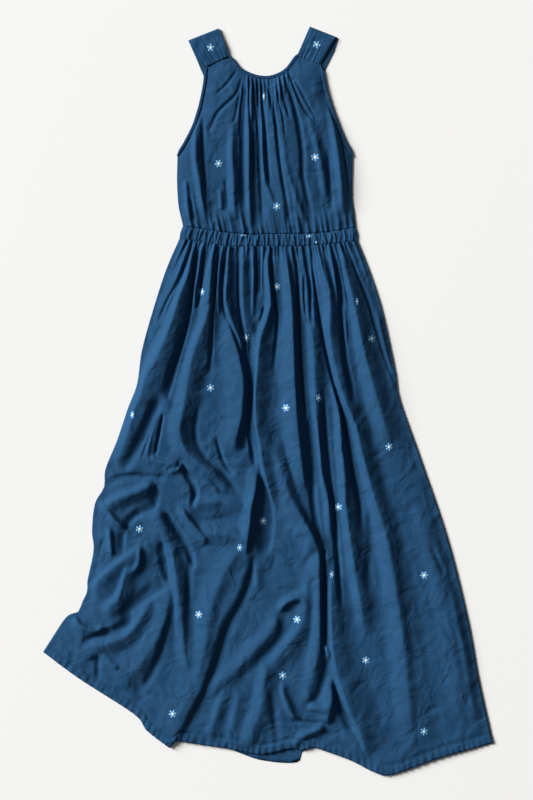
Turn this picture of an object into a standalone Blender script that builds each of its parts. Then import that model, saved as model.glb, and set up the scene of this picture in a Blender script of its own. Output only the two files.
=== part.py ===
"""A sleeveless halter dress with a gathered neck, an elastic waistband and a long full skirt.

It lies on its back on a flat surface. The origin is on that surface, at the middle of the dress, +X is to
the right of the laid-out dress, +Y towards its straps and +Z up. Each piece of cloth is a wall of its own.
Back pieces lie flat, and front pieces are height fields over a grid that follows the cut: folds lift them,
furrows lower them.
"""

from collections import namedtuple

import bpy
import numpy as np

CM = 0.01
MM = 0.001

WALL = 1.5 * MM
SEAM_GAP = 0.3 * MM
FRONT_FLOOR = WALL + SEAM_GAP
STEEPEST_WALL = 1.9
FOLD_BLEND = 2.0
CURVE_STEPS = 16
PATH_STEPS = 20
EDGE_SAMPLES = 120
NARROWEST_FOLD = 1.1 * CM

SKIRT_COLUMNS = 52
SKIRT_ROWS = 30
SKIRT_FIRST_ROW = 0.012
SKIRT_FINE_ROWS = 3
SKIRT_EASE = 30
SKIRT_PUFF = 7 * MM
SKIRT_PUFF_REACH = 6 * CM
BODICE_COLUMNS = 40
BODICE_ROWS = 15
BODICE_FINE_ROWS = 2
BODICE_EASE = 20
BODICE_PUFF = 5 * MM
BODICE_PUFF_REACH = 3 * CM
WAIST_RUCHES = 56
WAIST_RUCHE_DEPTH = 1.2 * MM
WAISTBAND_SWELL = 1.8 * MM
WAISTBAND_EASE = 30
BACK_COLUMNS = 16
BACK_ROWS = 14
NECK_BINDING_WIDTH = 6 * MM
ARMHOLE_BINDING_WIDTH = 5 * MM
BINDING_THICKNESS = 2 * MM
BINDING_GAP = 0.7 * MM
NECK_BINDING_POINTS = 25
ARMHOLE_BINDING_POINTS = 15
STRAP_POINTS = 9

Spot = namedtuple("Spot", "x y")
Fold = namedtuple("Fold", "top mid foot rise left right crest")
Gather = namedtuple("Gather", "place width rise length")
GatherRow = namedtuple("GatherRow", "count width rise length")
StrapRow = namedtuple("StrapRow", "outer inner lift")
Level = namedtuple("Level", "at share")

# Sections, each as the place from one edge to the other and the share of the full height there: the swell
# of the skirt and of the bodice from top to foot, the bodice's folds, the waistband and the bindings.
SKIRT_SWELL = (Level(0, 0.3), Level(0.08, 1), Level(0.9, 1), Level(1, 0.5))
BODICE_SWELL = (Level(0, 0.4), Level(0.1, 1), Level(0.9, 1), Level(1, 0.4))
BODICE_FOLD_HEIGHT = (Level(0, 0.3), Level(0.08, 1), Level(0.93, 1), Level(1, 0.4))
WAISTBAND_SECTION = (Level(0, 0.5), Level(0.15, 1), Level(0.85, 1), Level(1, 0.5))
BINDING_SECTION = (Level(0, 0.5), Level(0.2, 0.95), Level(0.8, 0.95), Level(1, 0.5))


def spots(*pairs):
    return [Spot(x, y) for x, y in pairs]


def moved(line, up):
    """The same spots, a distance in metres further up the dress."""
    return [Spot(spot.x, spot.y + up / CM) for spot in line]


# Outlines in centimetres. A line is a smooth curve through its spots, and an edge is one or more lines
# that meet at corners. Lines across run from left to right, and lines along the sides run from the top
# down.
BAND_HIGH = spots(
    (-17.0, 34.9), (-12.6, 34.3), (-8.6, 33.7), (-3.6, 33.3), (4.4, 33.4), (10.4, 33.6), (14.4, 34.1),
    (17.5, 34.7),
)
BAND_LOW = spots(
    (-17.7, 32.4), (-12.6, 31.7), (-7.6, 30.8), (-1, 30.9), (4.4, 30.8), (10.4, 31.1), (14.4, 31.5),
    (17.9, 31.9),
)
BAND_LEFT = [BAND_HIGH[0], Spot(-17.5, 33.7), BAND_LOW[0]]
BAND_RIGHT = [BAND_HIGH[-1], Spot(17.9, 33.3), BAND_LOW[-1]]

SKIRT_WAIST = moved(BAND_LOW, -SEAM_GAP)
SKIRT_LEFT = [SKIRT_WAIST[0]] + spots(
    (-20.4, 26.1), (-23, 18.1), (-25.2, 10.1), (-26.2, 3.3), (-28, -1.5), (-30.8, -9.9), (-32.7, -15),
    (-34.6, -21), (-35.1, -29.9), (-36.1, -36), (-37.3, -41.6), (-40.4, -43.6), (-45, -50.3),
)
SKIRT_RIGHT = [SKIRT_WAIST[-1]] + spots(
    (20.2, 26.1), (22.8, 18.1), (25.4, 6.1), (26.4, 0.1), (30.6, -11.9), (36, -27.9), (40, -43.9),
    (42.2, -55.9), (45, -68.5),
)
HEM_LEFT = spots((-45, -50.3), (-37.6, -55.7), (-26.8, -62.7), (-24.2, -66), (-19.7, -69.5))
HEM_RIGHT = spots((9.2, -69.3), (16.4, -71.9), (21.2, -74.3), (24.8, -74.8), (34.4, -71.5), (45, -68.5))
FRONT_HEM_MIDDLE = spots(
    (-18.3, -68.1), (-8.8, -69.5), (-1.2, -70.7), (4.6, -69.6), (7, -69.9), (9.2, -69.3),
)
BACK_HEM_MIDDLE = spots(
    (-18.3, -68.1), (-8.8, -69.5), (-1.6, -71.9), (5.6, -72.4), (6.8, -70.3), (9.2, -69.3),
)
HEM_STEP = spots((-19.7, -69.5), (-18.3, -68.1))

BODICE_WAIST = moved(BAND_HIGH, SEAM_GAP)
SIDE_LEFT = spots((-18.1, 48.8), (-18.2, 44), (-17.9, 39)) + [BODICE_WAIST[0]]
SIDE_RIGHT = spots((16.9, 48.8), (16.8, 41), (17.2, 37.5)) + [BODICE_WAIST[-1]]
ARMHOLE_LEFT = spots((-12.2, 66.6), (-12.6, 62.5), (-14.1, 56.3), (-16.3, 51.6), (-18.1, 48.8))
ARMHOLE_RIGHT = spots((10.4, 67.2), (11.9, 60.4), (14.7, 52.8), (16.9, 48.8))
STRAP_SEAM_LEFT = spots((-12.2, 66.6), (-9.8, 67.9), (-7.6, 68.4))
STRAP_SEAM_RIGHT = spots((6.0, 68.8), (8.4, 68.3), (10.4, 67.2))
NECK_EDGE = spots((-7.6, 68.4), (-5.9, 66.2), (-3.6, 64.9), (-1, 64.3), (1.4, 64.6), (3.9, 66), (6.0, 68.8))
BACK_TOP = spots((-14.1, 58.4), (13.1, 58.4))
BACK_ARMHOLE_LEFT = spots((-14.1, 58.4), (-16.3, 51.6), (-18.1, 48.8))
BACK_ARMHOLE_RIGHT = spots((13.1, 58.4), (14.7, 52.8), (16.9, 48.8))

# Each strap runs from its seam on the bodice up to its fold, and back down under the front to the back's
# top edge. A row gives its outer and inner edges in centimetres and the height of the front layer's
# underside in millimetres.
LEFT_STRAP = [
    StrapRow(Spot(-13.9, 69.4), Spot(-8.5, 71.3), 2.6),
    StrapRow(Spot(-15.9, 71.9), Spot(-9.7, 74.3), 3.4),
    StrapRow(Spot(-15.9, 71.9), Spot(-9.7, 74.3), 0.0),
    StrapRow(Spot(-13.0, 65.2), Spot(-7.5, 68.0), 0.0),
    StrapRow(Spot(-10.7, 58.43), Spot(-5.4, 58.43), 0.0),
]
RIGHT_STRAP = [
    StrapRow(Spot(12.2, 69.9), Spot(7.1, 71.9), 2.6),
    StrapRow(Spot(13.9, 72.4), Spot(8.3, 74.7), 3.4),
    StrapRow(Spot(13.9, 72.4), Spot(8.3, 74.7), 0.0),
    StrapRow(Spot(11.0, 66.3), Spot(6.4, 68.6), 0.0),
    StrapRow(Spot(8.9, 58.43), Spot(3.8, 58.43), 0.0),
]

# The large folds of the skirt. Places and half-widths are in centimetres and rises in millimetres. A row
# gives the crest's top, middle and foot, its rise there, the half-width on each side at top and foot, and
# how pinched it is.
SKIRT_FOLDS = [
    Fold(Spot(-15.5, 30), Spot(-18.2, 20), Spot(-21.5, 8), (5, 9, 9), (1.5, 3.0), (1.2, 2.0), 0.3),
    Fold(Spot(-21.5, 8), Spot(-25.5, 0), Spot(-30, -11), (9, 8, 6), (3.0, 2.5), (2.5, 4.0), 0.3),
    Fold(Spot(-11, 28), Spot(-13.2, 15), Spot(-18, 0), (5, 11, 12), (1.6, 2.6), (1.5, 3.0), 0.4),
    Fold(Spot(-18, 0), Spot(-19, -10), Spot(-9.5, -17), (12, 11, 6), (2.5, 1.8), (2.5, 1.8), 0.4),
    Fold(Spot(-8.5, 26), Spot(-8.2, 8), Spot(-12.5, -9), (5, 12, 8), (1.2, 3.0), (1.4, 3.0), 0.3),
    Fold(Spot(-0.3, 25), Spot(-1.5, 4), Spot(3, -21), (5, 12, 12), (2.0, 3.0), (1.6, 3.0), 0.3),
    Fold(Spot(0, -8), Spot(4.6, -19.5), Spot(10.3, -31), (8, 12, 16), (4.0, 6.0), (0.9, 0.9), 0.2),
    Fold(Spot(2.6, 26), Spot(3.6, 5), Spot(7, -19), (5, 12, 8), (1.5, 3.0), (2.0, 3.0), 0.3),
    Fold(Spot(7, 26), Spot(8.3, 0), Spot(12, -24), (4, 6, 6), (1.0, 1.5), (1.0, 1.5), 0.3),
    Fold(Spot(8.5, 26), Spot(10.8, 13), Spot(14.5, 0), (5, 11, 10), (1.0, 1.2), (2.0, 2.5), 0.3),
    Fold(Spot(12, 0), Spot(13.8, -14), Spot(15.4, -32), (8, 10, 12), (1.5, 1.2), (1.5, 1.5), 0.3),
    Fold(Spot(15.6, 28), Spot(19, 10), Spot(24, -10), (5, 9, 5), (1.5, 3.0), (1.6, 3.5), 0.3),
    Fold(Spot(15.5, 1), Spot(20.4, -26), Spot(26, -72), (7, 15, 13), (1.5, 3.2), (2.0, 3.4), 0.2),
    Fold(Spot(12.6, -32), Spot(13.0, -52), Spot(20, -70.5), (14, 15, 12), (0.9, 0.9), (4.5, 3.0), 0.3),
    Fold(Spot(-3.8, -30), Spot(-9.8, -46), Spot(-19.4, -69.3), (14, 20, 16), (7.0, 9.0), (0.9, 0.9), 0.2),
    Fold(Spot(-21, -27.5), Spot(-17.8, -43), Spot(-17.5, -62), (12, 12, 8), (1.8, 3.0), (1.8, 3.0), 0.4),
    Fold(Spot(-16, -25.5), Spot(-11, -26), Spot(-4, -29), (12, 14, 14), (3.0, 4.0), (1.5, 1.5), 0.2),
    Fold(Spot(-32, -17), Spot(-24, -15), Spot(-17.3, -14), (9, 13, 12), (2.2, 2.2), (2.2, 2.2), 0.3),
    Fold(Spot(-28, -26), Spot(-24.5, -21.8), Spot(-19, -25), (10, 13, 9), (2.5, 2.5), (1.6, 1.6), 0.3),
    Fold(Spot(-25.6, -29.3), Spot(-31, -33.2), Spot(-36.3, -38.2), (13, 13, 8), (0.9, 0.9), (6.0, 5.0), 0.2),
    Fold(Spot(-39, -43), Spot(-36.5, -45.4), Spot(-33.6, -45.2), (6, 9, 9), (2.5, 2.5), (1.2, 1.2), 0.2),
    Fold(Spot(-20.5, -38.5), Spot(-23.4, -46), Spot(-29, -54), (8, 11, 8), (3.0, 4.0), (2.0, 3.0), 0.2),
    Fold(Spot(-17.4, -50), Spot(-19.5, -58), Spot(-22, -66), (9, 10, 8), (3.0, 3.0), (3.0, 3.0), 0.1),
    Fold(Spot(2.4, -41.9), Spot(-4.2, -49.2), Spot(-13, -57.6), (11, 10, 5), (3.0, 3.0), (1.1, 1.1), 0.3),
    Fold(Spot(10, -32), Spot(7.4, -42), Spot(-0.2, -53.5), (14, 15, 11), (3.0, 1.5), (3.0, 2.5), 0.3),
    Fold(Spot(10.5, -31), Spot(11.1, -48), Spot(6.5, -62.5), (15, 12, 8), (3.0, 3.0), (0.9, 0.9), 0.3),
    Fold(Spot(-0.2, -53.5), Spot(-1.0, -60), Spot(-4.4, -70), (11, 10, 8), (2.5, 3.5), (1.1, 1.1), 0.3),
    Fold(Spot(12.8, -57), Spot(12.0, -65), Spot(5, -68.8), (10, 10, 7), (1.2, 1.2), (3.0, 3.0), 0.2),
]

# The deep furrows between them, in the same columns, with negative rises.
SKIRT_FURROWS = [
    Fold(Spot(-13.7, 30), Spot(-15.8, 17), Spot(-22, 0), (-5, -7, -7), (1.2, 1.8), (1.2, 1.8), 0.2),
    Fold(Spot(-22, 0), Spot(-26, -7), Spot(-30.5, -14.5), (-7, -6, -5), (1.8, 1.8), (1.8, 1.8), 0.2),
    Fold(Spot(-9.2, 27), Spot(-11.2, 15), Spot(-11.5, 4), (-5, -7, -6), (1.2, 1.5), (1.2, 1.5), 0.2),
    Fold(Spot(-5.7, 29), Spot(-5.2, 11), Spot(-2.2, -14), (-5, -8, -8), (1.2, 1.4), (1.2, 1.4), 0.2),
    Fold(Spot(5.8, 29), Spot(6.6, 6), Spot(10.6, -30), (-5, -8, -8), (1.2, 1.2), (1.2, 1.2), 0.2),
    Fold(Spot(11.3, -30), Spot(11.5, -40), Spot(11.4, -51), (-9, -9, -9), (1.1, 1.1), (1.1, 1.1), 0.1),
    Fold(Spot(16.5, 29), Spot(20.7, 15), Spot(26, 3), (-4, -5, -4), (1.2, 1.4), (1.2, 1.4), 0.2),
    Fold(Spot(14, 1), Spot(16.8, -14), Spot(18, -32), (-6, -7, -6), (1.2, 1.4), (1.2, 1.4), 0.2),
    Fold(Spot(-2.4, -15), Spot(-2.4, -32), Spot(-8.4, -47), (-9, -9, -9), (1.2, 1.4), (2.0, 2.4), 0.1),
    Fold(Spot(-8.4, -47), Spot(-13.5, -59), Spot(-17.6, -68), (-9, -9, -8), (1.2, 1.2), (2.4, 2.4), 0.1),
    Fold(Spot(-21.5, -28), Spot(-22.4, -33), Spot(-21, -37), (-6, -9, -7), (1.6, 2.4), (1.2, 1.2), 0.1),
    Fold(Spot(-39, -47.6), Spot(-33, -46.9), Spot(-27.4, -42), (-4, -7, -6), (1.6, 1.6), (1.4, 1.4), 0.1),
    Fold(Spot(2.2, -42.6), Spot(-1.5, -50), Spot(-9, -56.9), (-6, -7, -5), (1.1, 1.1), (1.4, 1.4), 0.1),
    Fold(Spot(2, -56), Spot(1.6, -62), Spot(2.4, -68.5), (-6, -7, -6), (1.2, 1.6), (1.2, 1.6), 0.1),
    Fold(Spot(12.6, -52), Spot(11.6, -58), Spot(7, -62.4), (-7, -7, -6), (1.1, 1.1), (1.6, 1.6), 0.1),
]

# The folds of the bodice, in the same columns: those from the neck, then those that reach the waist.
BODICE_FOLDS = [
    Fold(Spot(-3.6, 63.6), Spot(-3.2, 50), Spot(-2.4, 35), (4, 6, 4), (1.1, 1.4), (1.1, 1.4), 0.3),
    Fold(Spot(-6.4, 60.5), Spot(-7.2, 48), Spot(-6.0, 38), (4, 6, 5), (1.1, 1.6), (1.1, 1.6), 0.3),
    Fold(Spot(-1.2, 60), Spot(-0.6, 50), Spot(0.4, 35), (4, 6, 4), (1.1, 1.3), (1.1, 1.3), 0.3),
    Fold(Spot(2.4, 60), Spot(4.0, 50), Spot(5.8, 35), (4, 6, 5), (1.1, 1.6), (1.1, 1.4), 0.3),
    Fold(Spot(13, 60), Spot(14.2, 48), Spot(15, 38), (3, 5, 4), (1.4, 1.6), (1.2, 1.4), 0.2),
    Fold(Spot(-14.2, 55), Spot(-14, 46), Spot(-12.4, 38), (3, 5, 4), (1.2, 1.4), (1.2, 1.4), 0.3),
]

# The gathers at the neck and the waist: place across the piece from 0 to 1, or how many there are, width
# in cm, rise in mm, length in cm.
NECK_GATHERS = [
    Gather(0.40, 0.7, 3.0, 6), Gather(0.44, 0.7, 3.4, 9), Gather(0.48, 0.7, 3.0, 7),
    Gather(0.52, 0.7, 3.4, 10), Gather(0.56, 0.7, 3.0, 8), Gather(0.60, 0.7, 3.4, 11),
    Gather(0.64, 0.7, 3.0, 7), Gather(0.68, 0.7, 3.0, 6),
]
SKIRT_GATHERS = GatherRow(44, 0.75, 3.0, 7)
BODICE_WAIST_GATHERS = GatherRow(20, 1.6, 2.5, 6)

NAVY = (0.016, 0.058, 0.135)
CLOTH_ROUGHNESS = 0.85
SHADES = {
    "skirt": 1.0, "waistband": 0.95, "bodice": 1.02, "binding": 0.9, "strap": 0.97, "back": 0.85,
}


def curve_through(points, count):
    """Evenly spaced points on a smooth curve through the given ones, in metres."""
    known = np.array(points, float) * CM
    ends = np.vstack([2 * known[0] - known[1], known, 2 * known[-1] - known[-2]])
    fine = []
    for start in range(len(known) - 1):
        before, first, second, after = ends[start:start + 4]
        part = np.linspace(0, 1, CURVE_STEPS, endpoint=False)[:, None]
        pull = (second - before) / 2
        push = (after - first) / 2
        fine.append(
            first * (2 * part**3 - 3 * part**2 + 1)
            + second * (3 * part**2 - 2 * part**3)
            + pull * (part**3 - 2 * part**2 + part)
            + push * (part**3 - part**2)
        )
    fine = np.vstack(fine + [known[-1:]])
    run = np.concatenate([[0], np.cumsum(np.linalg.norm(np.diff(fine, axis=0), axis=1))])
    at = np.linspace(0, run[-1], count)
    return np.column_stack([np.interp(at, run, fine[:, 0]), np.interp(at, run, fine[:, 1])])


def patch(top, left, right, foot, across, down):
    """Plan points of a panel between its four edges, at columns and rows from 0 to 1."""

    def along(edge, at):
        line = np.vstack([curve_through(part, EDGE_SAMPLES) for part in edge])
        run = np.concatenate([[0], np.cumsum(np.linalg.norm(np.diff(line, axis=0), axis=1))])
        return np.column_stack([np.interp(at * run[-1], run, line[:, axis]) for axis in (0, 1)])

    upper = along(top, across)[None, :, :]
    lower = along(foot, across)[None, :, :]
    port = along(left, down)[:, None, :]
    starboard = along(right, down)[:, None, :]
    u = across[None, :, None]
    v = down[:, None, None]
    corners = (
        (1 - u) * (1 - v) * upper[:, :1] + u * (1 - v) * upper[:, -1:]
        + (1 - u) * v * lower[:, :1] + u * v * lower[:, -1:]
    )
    return (1 - v) * upper + v * lower + (1 - u) * port + u * starboard - corners


def place_on_fold(plan, fold):
    """How far along the fold's crest each plan point's nearest place is, and how far to its side."""
    top, mid, foot = (np.array(spot, float) * CM for spot in (fold.top, fold.mid, fold.foot))
    bend = 2 * mid - (top + foot) / 2
    part = np.linspace(0, 1, PATH_STEPS + 1)[:, None]
    path = (1 - part) ** 2 * top + 2 * part * (1 - part) * bend + part**2 * foot
    nearest = np.full(plan.shape[:2], np.inf)
    along = np.zeros(plan.shape[:2])
    side = np.zeros(plan.shape[:2])
    for step in range(PATH_STEPS):
        run = path[step + 1] - path[step]
        out = plan - path[step]
        share = np.clip((out @ run) / (run @ run), 0, 1)
        off = out - share[..., None] * run
        far = np.hypot(off[..., 0], off[..., 1])
        closer = far < nearest
        nearest = np.where(closer, far, nearest)
        along = np.where(closer, (step + share) / PATH_STEPS, along)
        turn = run[0] * off[..., 1] - run[1] * off[..., 0]
        side = np.where(closer, np.copysign(far, turn), side)
    return along, side


def fold_rise(plan, fold):
    along, side = place_on_fold(plan, fold)
    left = np.interp(along, (0, 1), fold.left) * CM
    right = np.interp(along, (0, 1), fold.right) * CM
    half = np.maximum(np.where(side < 0, left, right), NARROWEST_FOLD)
    share = np.clip(np.abs(side) / half, 0, 1)
    round_top = 0.5 * (1 + np.cos(np.pi * share))
    pinched_top = (1 - share) ** 2
    rise = np.interp(along, (0, 0.5, 1), fold.rise) * MM
    return rise * (round_top + fold.crest * (pinched_top - round_top))


def folded(plan, puff, folds, furrows):
    """Height of the cloth over its floor: the puff, the folds blended together, less the furrows."""
    lifted = np.zeros(plan.shape[:2])
    for fold in folds:
        lifted += np.abs(fold_rise(plan, fold)) ** FOLD_BLEND
    sunk = np.zeros(plan.shape[:2])
    for furrow in furrows:
        sunk = np.minimum(sunk, fold_rise(plan, furrow))
    height = puff + lifted ** (1 / FOLD_BLEND) + sunk
    return np.maximum(height, 0)


def edge_puff(plan, across, puff, reach):
    """A low swell that falls to nothing at the two side edges."""
    width = np.linalg.norm(plan[:, -1] - plan[:, 0], axis=1)[:, None]
    inset = np.minimum(across, 1 - across)[None, :] * width
    return puff * np.sin(np.clip(inset / reach, 0, 1) * np.pi / 2)


def gathered(plan, across, from_top, gathers):
    """Short ridges that start at the gathered edge and die away down the piece."""
    width = np.linalg.norm(plan[:, -1] - plan[:, 0], axis=1)[:, None]
    lifted = np.zeros(plan.shape[:2])
    for gather in gathers:
        off = np.abs(across[None, :] - gather.place) * width / (gather.width * CM / 2)
        fade = np.clip(1 - from_top[:, None] / (gather.length * CM), 0, 1)
        lifted += gather.rise * MM * fade * 0.5 * (1 + np.cos(np.pi * np.clip(off, 0, 1)))
    return lifted


def side_by_side(row):
    """Gathers along a seam, their rise and length uneven in a fixed rhythm."""
    found = []
    for number in range(row.count):
        beat = np.sin(2.4 * number) * np.cos(0.9 * number)
        place = (number + 0.5) / row.count
        found.append(Gather(place, row.width, row.rise * (1 + 0.35 * beat), row.length * (1 + 0.6 * beat)))
    return found


def share_at(places, section):
    """The share of the full height at places from 0 to 1 of a section."""
    return np.interp(places, [level.at for level in section], [level.share for level in section])


def strip_faces(near, far):
    """Triangles between two rows of point numbers, which are equal or the far one has half the columns."""
    faces = []
    if len(near) == len(far):
        for a, b, c, d in zip(near[:-1], near[1:], far[1:], far[:-1]):
            faces += [(a, d, c), (a, c, b)]
        return faces
    for column in range(len(far) - 1):
        a, b, c = near[2 * column:2 * column + 3]
        d, e = far[column], far[column + 1]
        faces += [(a, d, b), (b, d, e), (b, e, c)]
    return faces


def wall_mesh(name, rows, colour):
    """A closed wall from rows of (underside point, upper point) pairs, both surfaces triangulated alike."""
    points = []
    lower, upper = [], []
    for under, over in rows:
        lower.append(list(range(len(points), len(points) + len(under))))
        points += [tuple(point) for point in under]
        upper.append(list(range(len(points), len(points) + len(over))))
        points += [tuple(point) for point in over]
    faces = []
    for row in range(len(rows) - 1):
        faces += strip_faces(upper[row], upper[row + 1])
        faces += [face[::-1] for face in strip_faces(lower[row], lower[row + 1])]
        for edge, turn in ((0, 1), (-1, -1)):
            a, b = upper[row][edge], upper[row + 1][edge]
            c, d = lower[row + 1][edge], lower[row][edge]
            faces += [(d, c, b)[::turn], (d, b, a)[::turn]]
    for row, turn in ((0, -1), (-1, 1)):
        over, under = upper[row], lower[row]
        for a, b, c, d in zip(over[:-1], over[1:], under[1:], under[:-1]):
            faces += [(a, d, c)[::turn], (a, c, b)[::turn]]
    mesh = bpy.data.meshes.new(name)
    mesh.from_pydata(points, [], faces)
    mesh.validate()
    piece = bpy.data.objects.new(name, mesh)
    bpy.context.collection.objects.link(piece)
    piece.data.materials.append(cloth_material(name, colour))
    return piece


def cloth_material(name, shade):
    material = bpy.data.materials.new(name)
    material.use_nodes = True
    surface = material.node_tree.nodes["Principled BSDF"]
    surface.inputs["Base Color"].default_value = (*(part * SHADES[shade] for part in NAVY), 1)
    surface.inputs["Roughness"].default_value = CLOTH_ROUGHNESS
    surface.inputs["Metallic"].default_value = 0
    return material


def slope_of(plan, height):
    """Steepness of the height field over its plan, from differences along rows and columns."""
    down = np.gradient(height, axis=0) / np.maximum(np.linalg.norm(np.gradient(plan, axis=0), axis=2), MM)
    over = np.gradient(height, axis=1) / np.maximum(np.linalg.norm(np.gradient(plan, axis=1), axis=2), MM)
    return np.hypot(down, over)


def raised_rows(plan, height, floor):
    """Rows of a wall over a height field: thicker upright where it is steep, so it is as thick across."""
    upright = WALL * np.minimum(np.sqrt(1 + slope_of(plan, height) ** 2), STEEPEST_WALL)
    under = np.dstack([plan, floor + height])
    over = np.dstack([plan, floor + height + upright])
    return list(zip(under, over))


def spaced(count, first_step, total=1.0):
    """count + 1 places from 0 to total whose first step is given and whose others grow evenly."""
    growth = 2 * (total - count * first_step) / (count * (count - 1))
    steps = first_step + growth * np.arange(count)
    return np.concatenate([[0], np.cumsum(steps)])


def skirt_front():
    across = np.linspace(0, 1, 2 * SKIRT_COLUMNS + 1)
    down = spaced(SKIRT_ROWS, SKIRT_FIRST_ROW)
    hem = [HEM_LEFT, HEM_STEP, FRONT_HEM_MIDDLE, HEM_RIGHT]
    plan = patch([SKIRT_WAIST], [SKIRT_LEFT], [SKIRT_RIGHT], hem, across, down)
    length = np.linalg.norm(plan[-1] - plan[0], axis=1).mean()
    puff = edge_puff(plan, across, SKIRT_PUFF, SKIRT_PUFF_REACH)
    puff *= share_at(down, SKIRT_SWELL)[:, None]
    height = folded(plan, puff, SKIRT_FOLDS, SKIRT_FURROWS)
    edge = np.clip(np.minimum(across, 1 - across) * SKIRT_EASE, 0, 1)[None, :]
    height *= edge
    height += gathered(plan, across, down * length, side_by_side(SKIRT_GATHERS)) * edge
    rows = raised_rows(plan, height, FRONT_FLOOR)
    coarse = [(under[::2], over[::2]) for under, over in rows[SKIRT_FINE_ROWS:]]
    return wall_mesh("skirt_front", rows[:SKIRT_FINE_ROWS] + coarse, "skirt")


def flat_back(name, top, left, right, foot, columns):
    plan = patch(top, left, right, foot, np.linspace(0, 1, columns + 1), np.linspace(0, 1, BACK_ROWS + 1))
    return wall_mesh(name, raised_rows(plan, np.zeros(plan.shape[:2]), 0), "back")


def backs():
    hem = [HEM_LEFT, HEM_STEP, BACK_HEM_MIDDLE, HEM_RIGHT]
    flat_back("skirt_back", [SKIRT_WAIST], [SKIRT_LEFT], [SKIRT_RIGHT], hem, 2 * BACK_COLUMNS)
    flat_back("waistband_back", [BAND_HIGH], [BAND_LEFT], [BAND_RIGHT], [BAND_LOW], BACK_COLUMNS)
    left = [BACK_ARMHOLE_LEFT, SIDE_LEFT]
    right = [BACK_ARMHOLE_RIGHT, SIDE_RIGHT]
    flat_back("bodice_back", [BACK_TOP], left, right, [BODICE_WAIST], BACK_COLUMNS)


def bodice_front():
    across = np.linspace(0, 1, 2 * BODICE_COLUMNS + 1)
    down = np.linspace(0, 1, BODICE_ROWS + 1)
    top = [STRAP_SEAM_LEFT, NECK_EDGE, STRAP_SEAM_RIGHT]
    plan = patch(top, [ARMHOLE_LEFT, SIDE_LEFT], [ARMHOLE_RIGHT, SIDE_RIGHT], [BODICE_WAIST], across, down)
    length = np.linalg.norm(plan[-1] - plan[0], axis=1).mean()
    puff = edge_puff(plan, across, BODICE_PUFF, BODICE_PUFF_REACH)
    puff *= share_at(down, BODICE_SWELL)[:, None]
    height = folded(plan, puff, BODICE_FOLDS, [])
    edge = np.clip(np.minimum(across, 1 - across) * BODICE_EASE, 0, 1)[None, :]
    height *= edge * share_at(down, BODICE_FOLD_HEIGHT)[:, None]
    height += gathered(plan, across, down * length, NECK_GATHERS) * edge
    height += gathered(plan, across, (1 - down) * length, side_by_side(BODICE_WAIST_GATHERS)) * edge
    rows = raised_rows(plan, height, FRONT_FLOOR)
    coarse = [(under[::2], over[::2]) for under, over in rows[BODICE_FINE_ROWS:]]
    return wall_mesh("bodice_front", rows[:BODICE_FINE_ROWS] + coarse, "bodice")


def waistband_front():
    across = np.linspace(0, 1, 2 * WAIST_RUCHES + 1)
    down = np.array([level.at for level in WAISTBAND_SECTION])
    plan = patch([BAND_HIGH], [BAND_LEFT], [BAND_RIGHT], [BAND_LOW], across, down)
    ruche = WAIST_RUCHE_DEPTH * (np.arange(len(across)) % 2)
    edge = np.clip(np.minimum(across, 1 - across) * WAISTBAND_EASE, 0, 1)
    swell = WAISTBAND_SWELL * np.sin(edge * np.pi / 2)
    height = np.outer([level.share for level in WAISTBAND_SECTION], swell + ruche)
    return wall_mesh("waistband_front", raised_rows(plan, height, FRONT_FLOOR), "waistband")


def beside(line, count, away):
    """Points along a line, moved sideways: a positive distance is to the left of the way that it runs."""
    path = curve_through(line, count)
    run = np.gradient(path, axis=0)
    run /= np.linalg.norm(run, axis=1)[:, None]
    return path + away * np.column_stack([-run[:, 1], run[:, 0]])


def binding(name, line, width, side, count):
    """A flat folded strip along a cut edge, made from the edge's own points moved out."""
    rows = []
    for level in BINDING_SECTION:
        plan = beside(line, count, side * (BINDING_GAP + level.at * width))
        under = np.column_stack([plan, np.full(count, FRONT_FLOOR)])
        over = under + np.array([0, 0, level.share * BINDING_THICKNESS])
        rows.append((under, over))
    return wall_mesh(name, rows[::-1] if side > 0 else rows, "binding")


def strap(name, seam, table, count):
    """A strip folded over at the shoulder: its front layer, the round fold, then its back layer."""
    outer = np.array([row.outer for row in table]) * CM
    inner = np.array([row.inner for row in table]) * CM
    lift = np.array([row.lift for row in table]) * MM
    share = np.linspace(0, 1, count)[:, None]
    rightward = outer[0][0] < inner[0][0]
    rows = []

    def add(plan, low, normal):
        face = np.column_stack([plan, np.full(count, low)])
        rows.append((face, face + np.array(normal) * WALL))

    seam_row = beside(seam, count, BINDING_GAP)
    add(seam_row if rightward else seam_row[::-1], FRONT_FLOOR, (0, 0, 1))
    for row in (0, 1):
        add(outer[row] + share * (inner[row] - outer[row]), lift[row], (0, 0, 1))
    along = (outer[1] + inner[1] - outer[3] - inner[3]) / 2
    along /= np.linalg.norm(along)
    radius = (lift[1] - WALL) / 2
    for angle in (np.pi / 4, 0, -np.pi / 4):
        turned = np.array([*(along * np.cos(angle)), np.sin(angle)])
        start = np.array([*outer[1], WALL + radius]) + turned * radius
        end = np.array([*inner[1], WALL + radius]) + turned * radius
        face = start + share * (end - start)
        rows.append((face, face + turned * WALL))
    for row in (2, 3, 4):
        add(outer[row] + share * (inner[row] - outer[row]), WALL, (0, 0, -1))
    if not rightward:
        rows = [(under[::-1], over[::-1]) for under, over in rows]
    return wall_mesh(name, rows[::-1], "strap")


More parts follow.
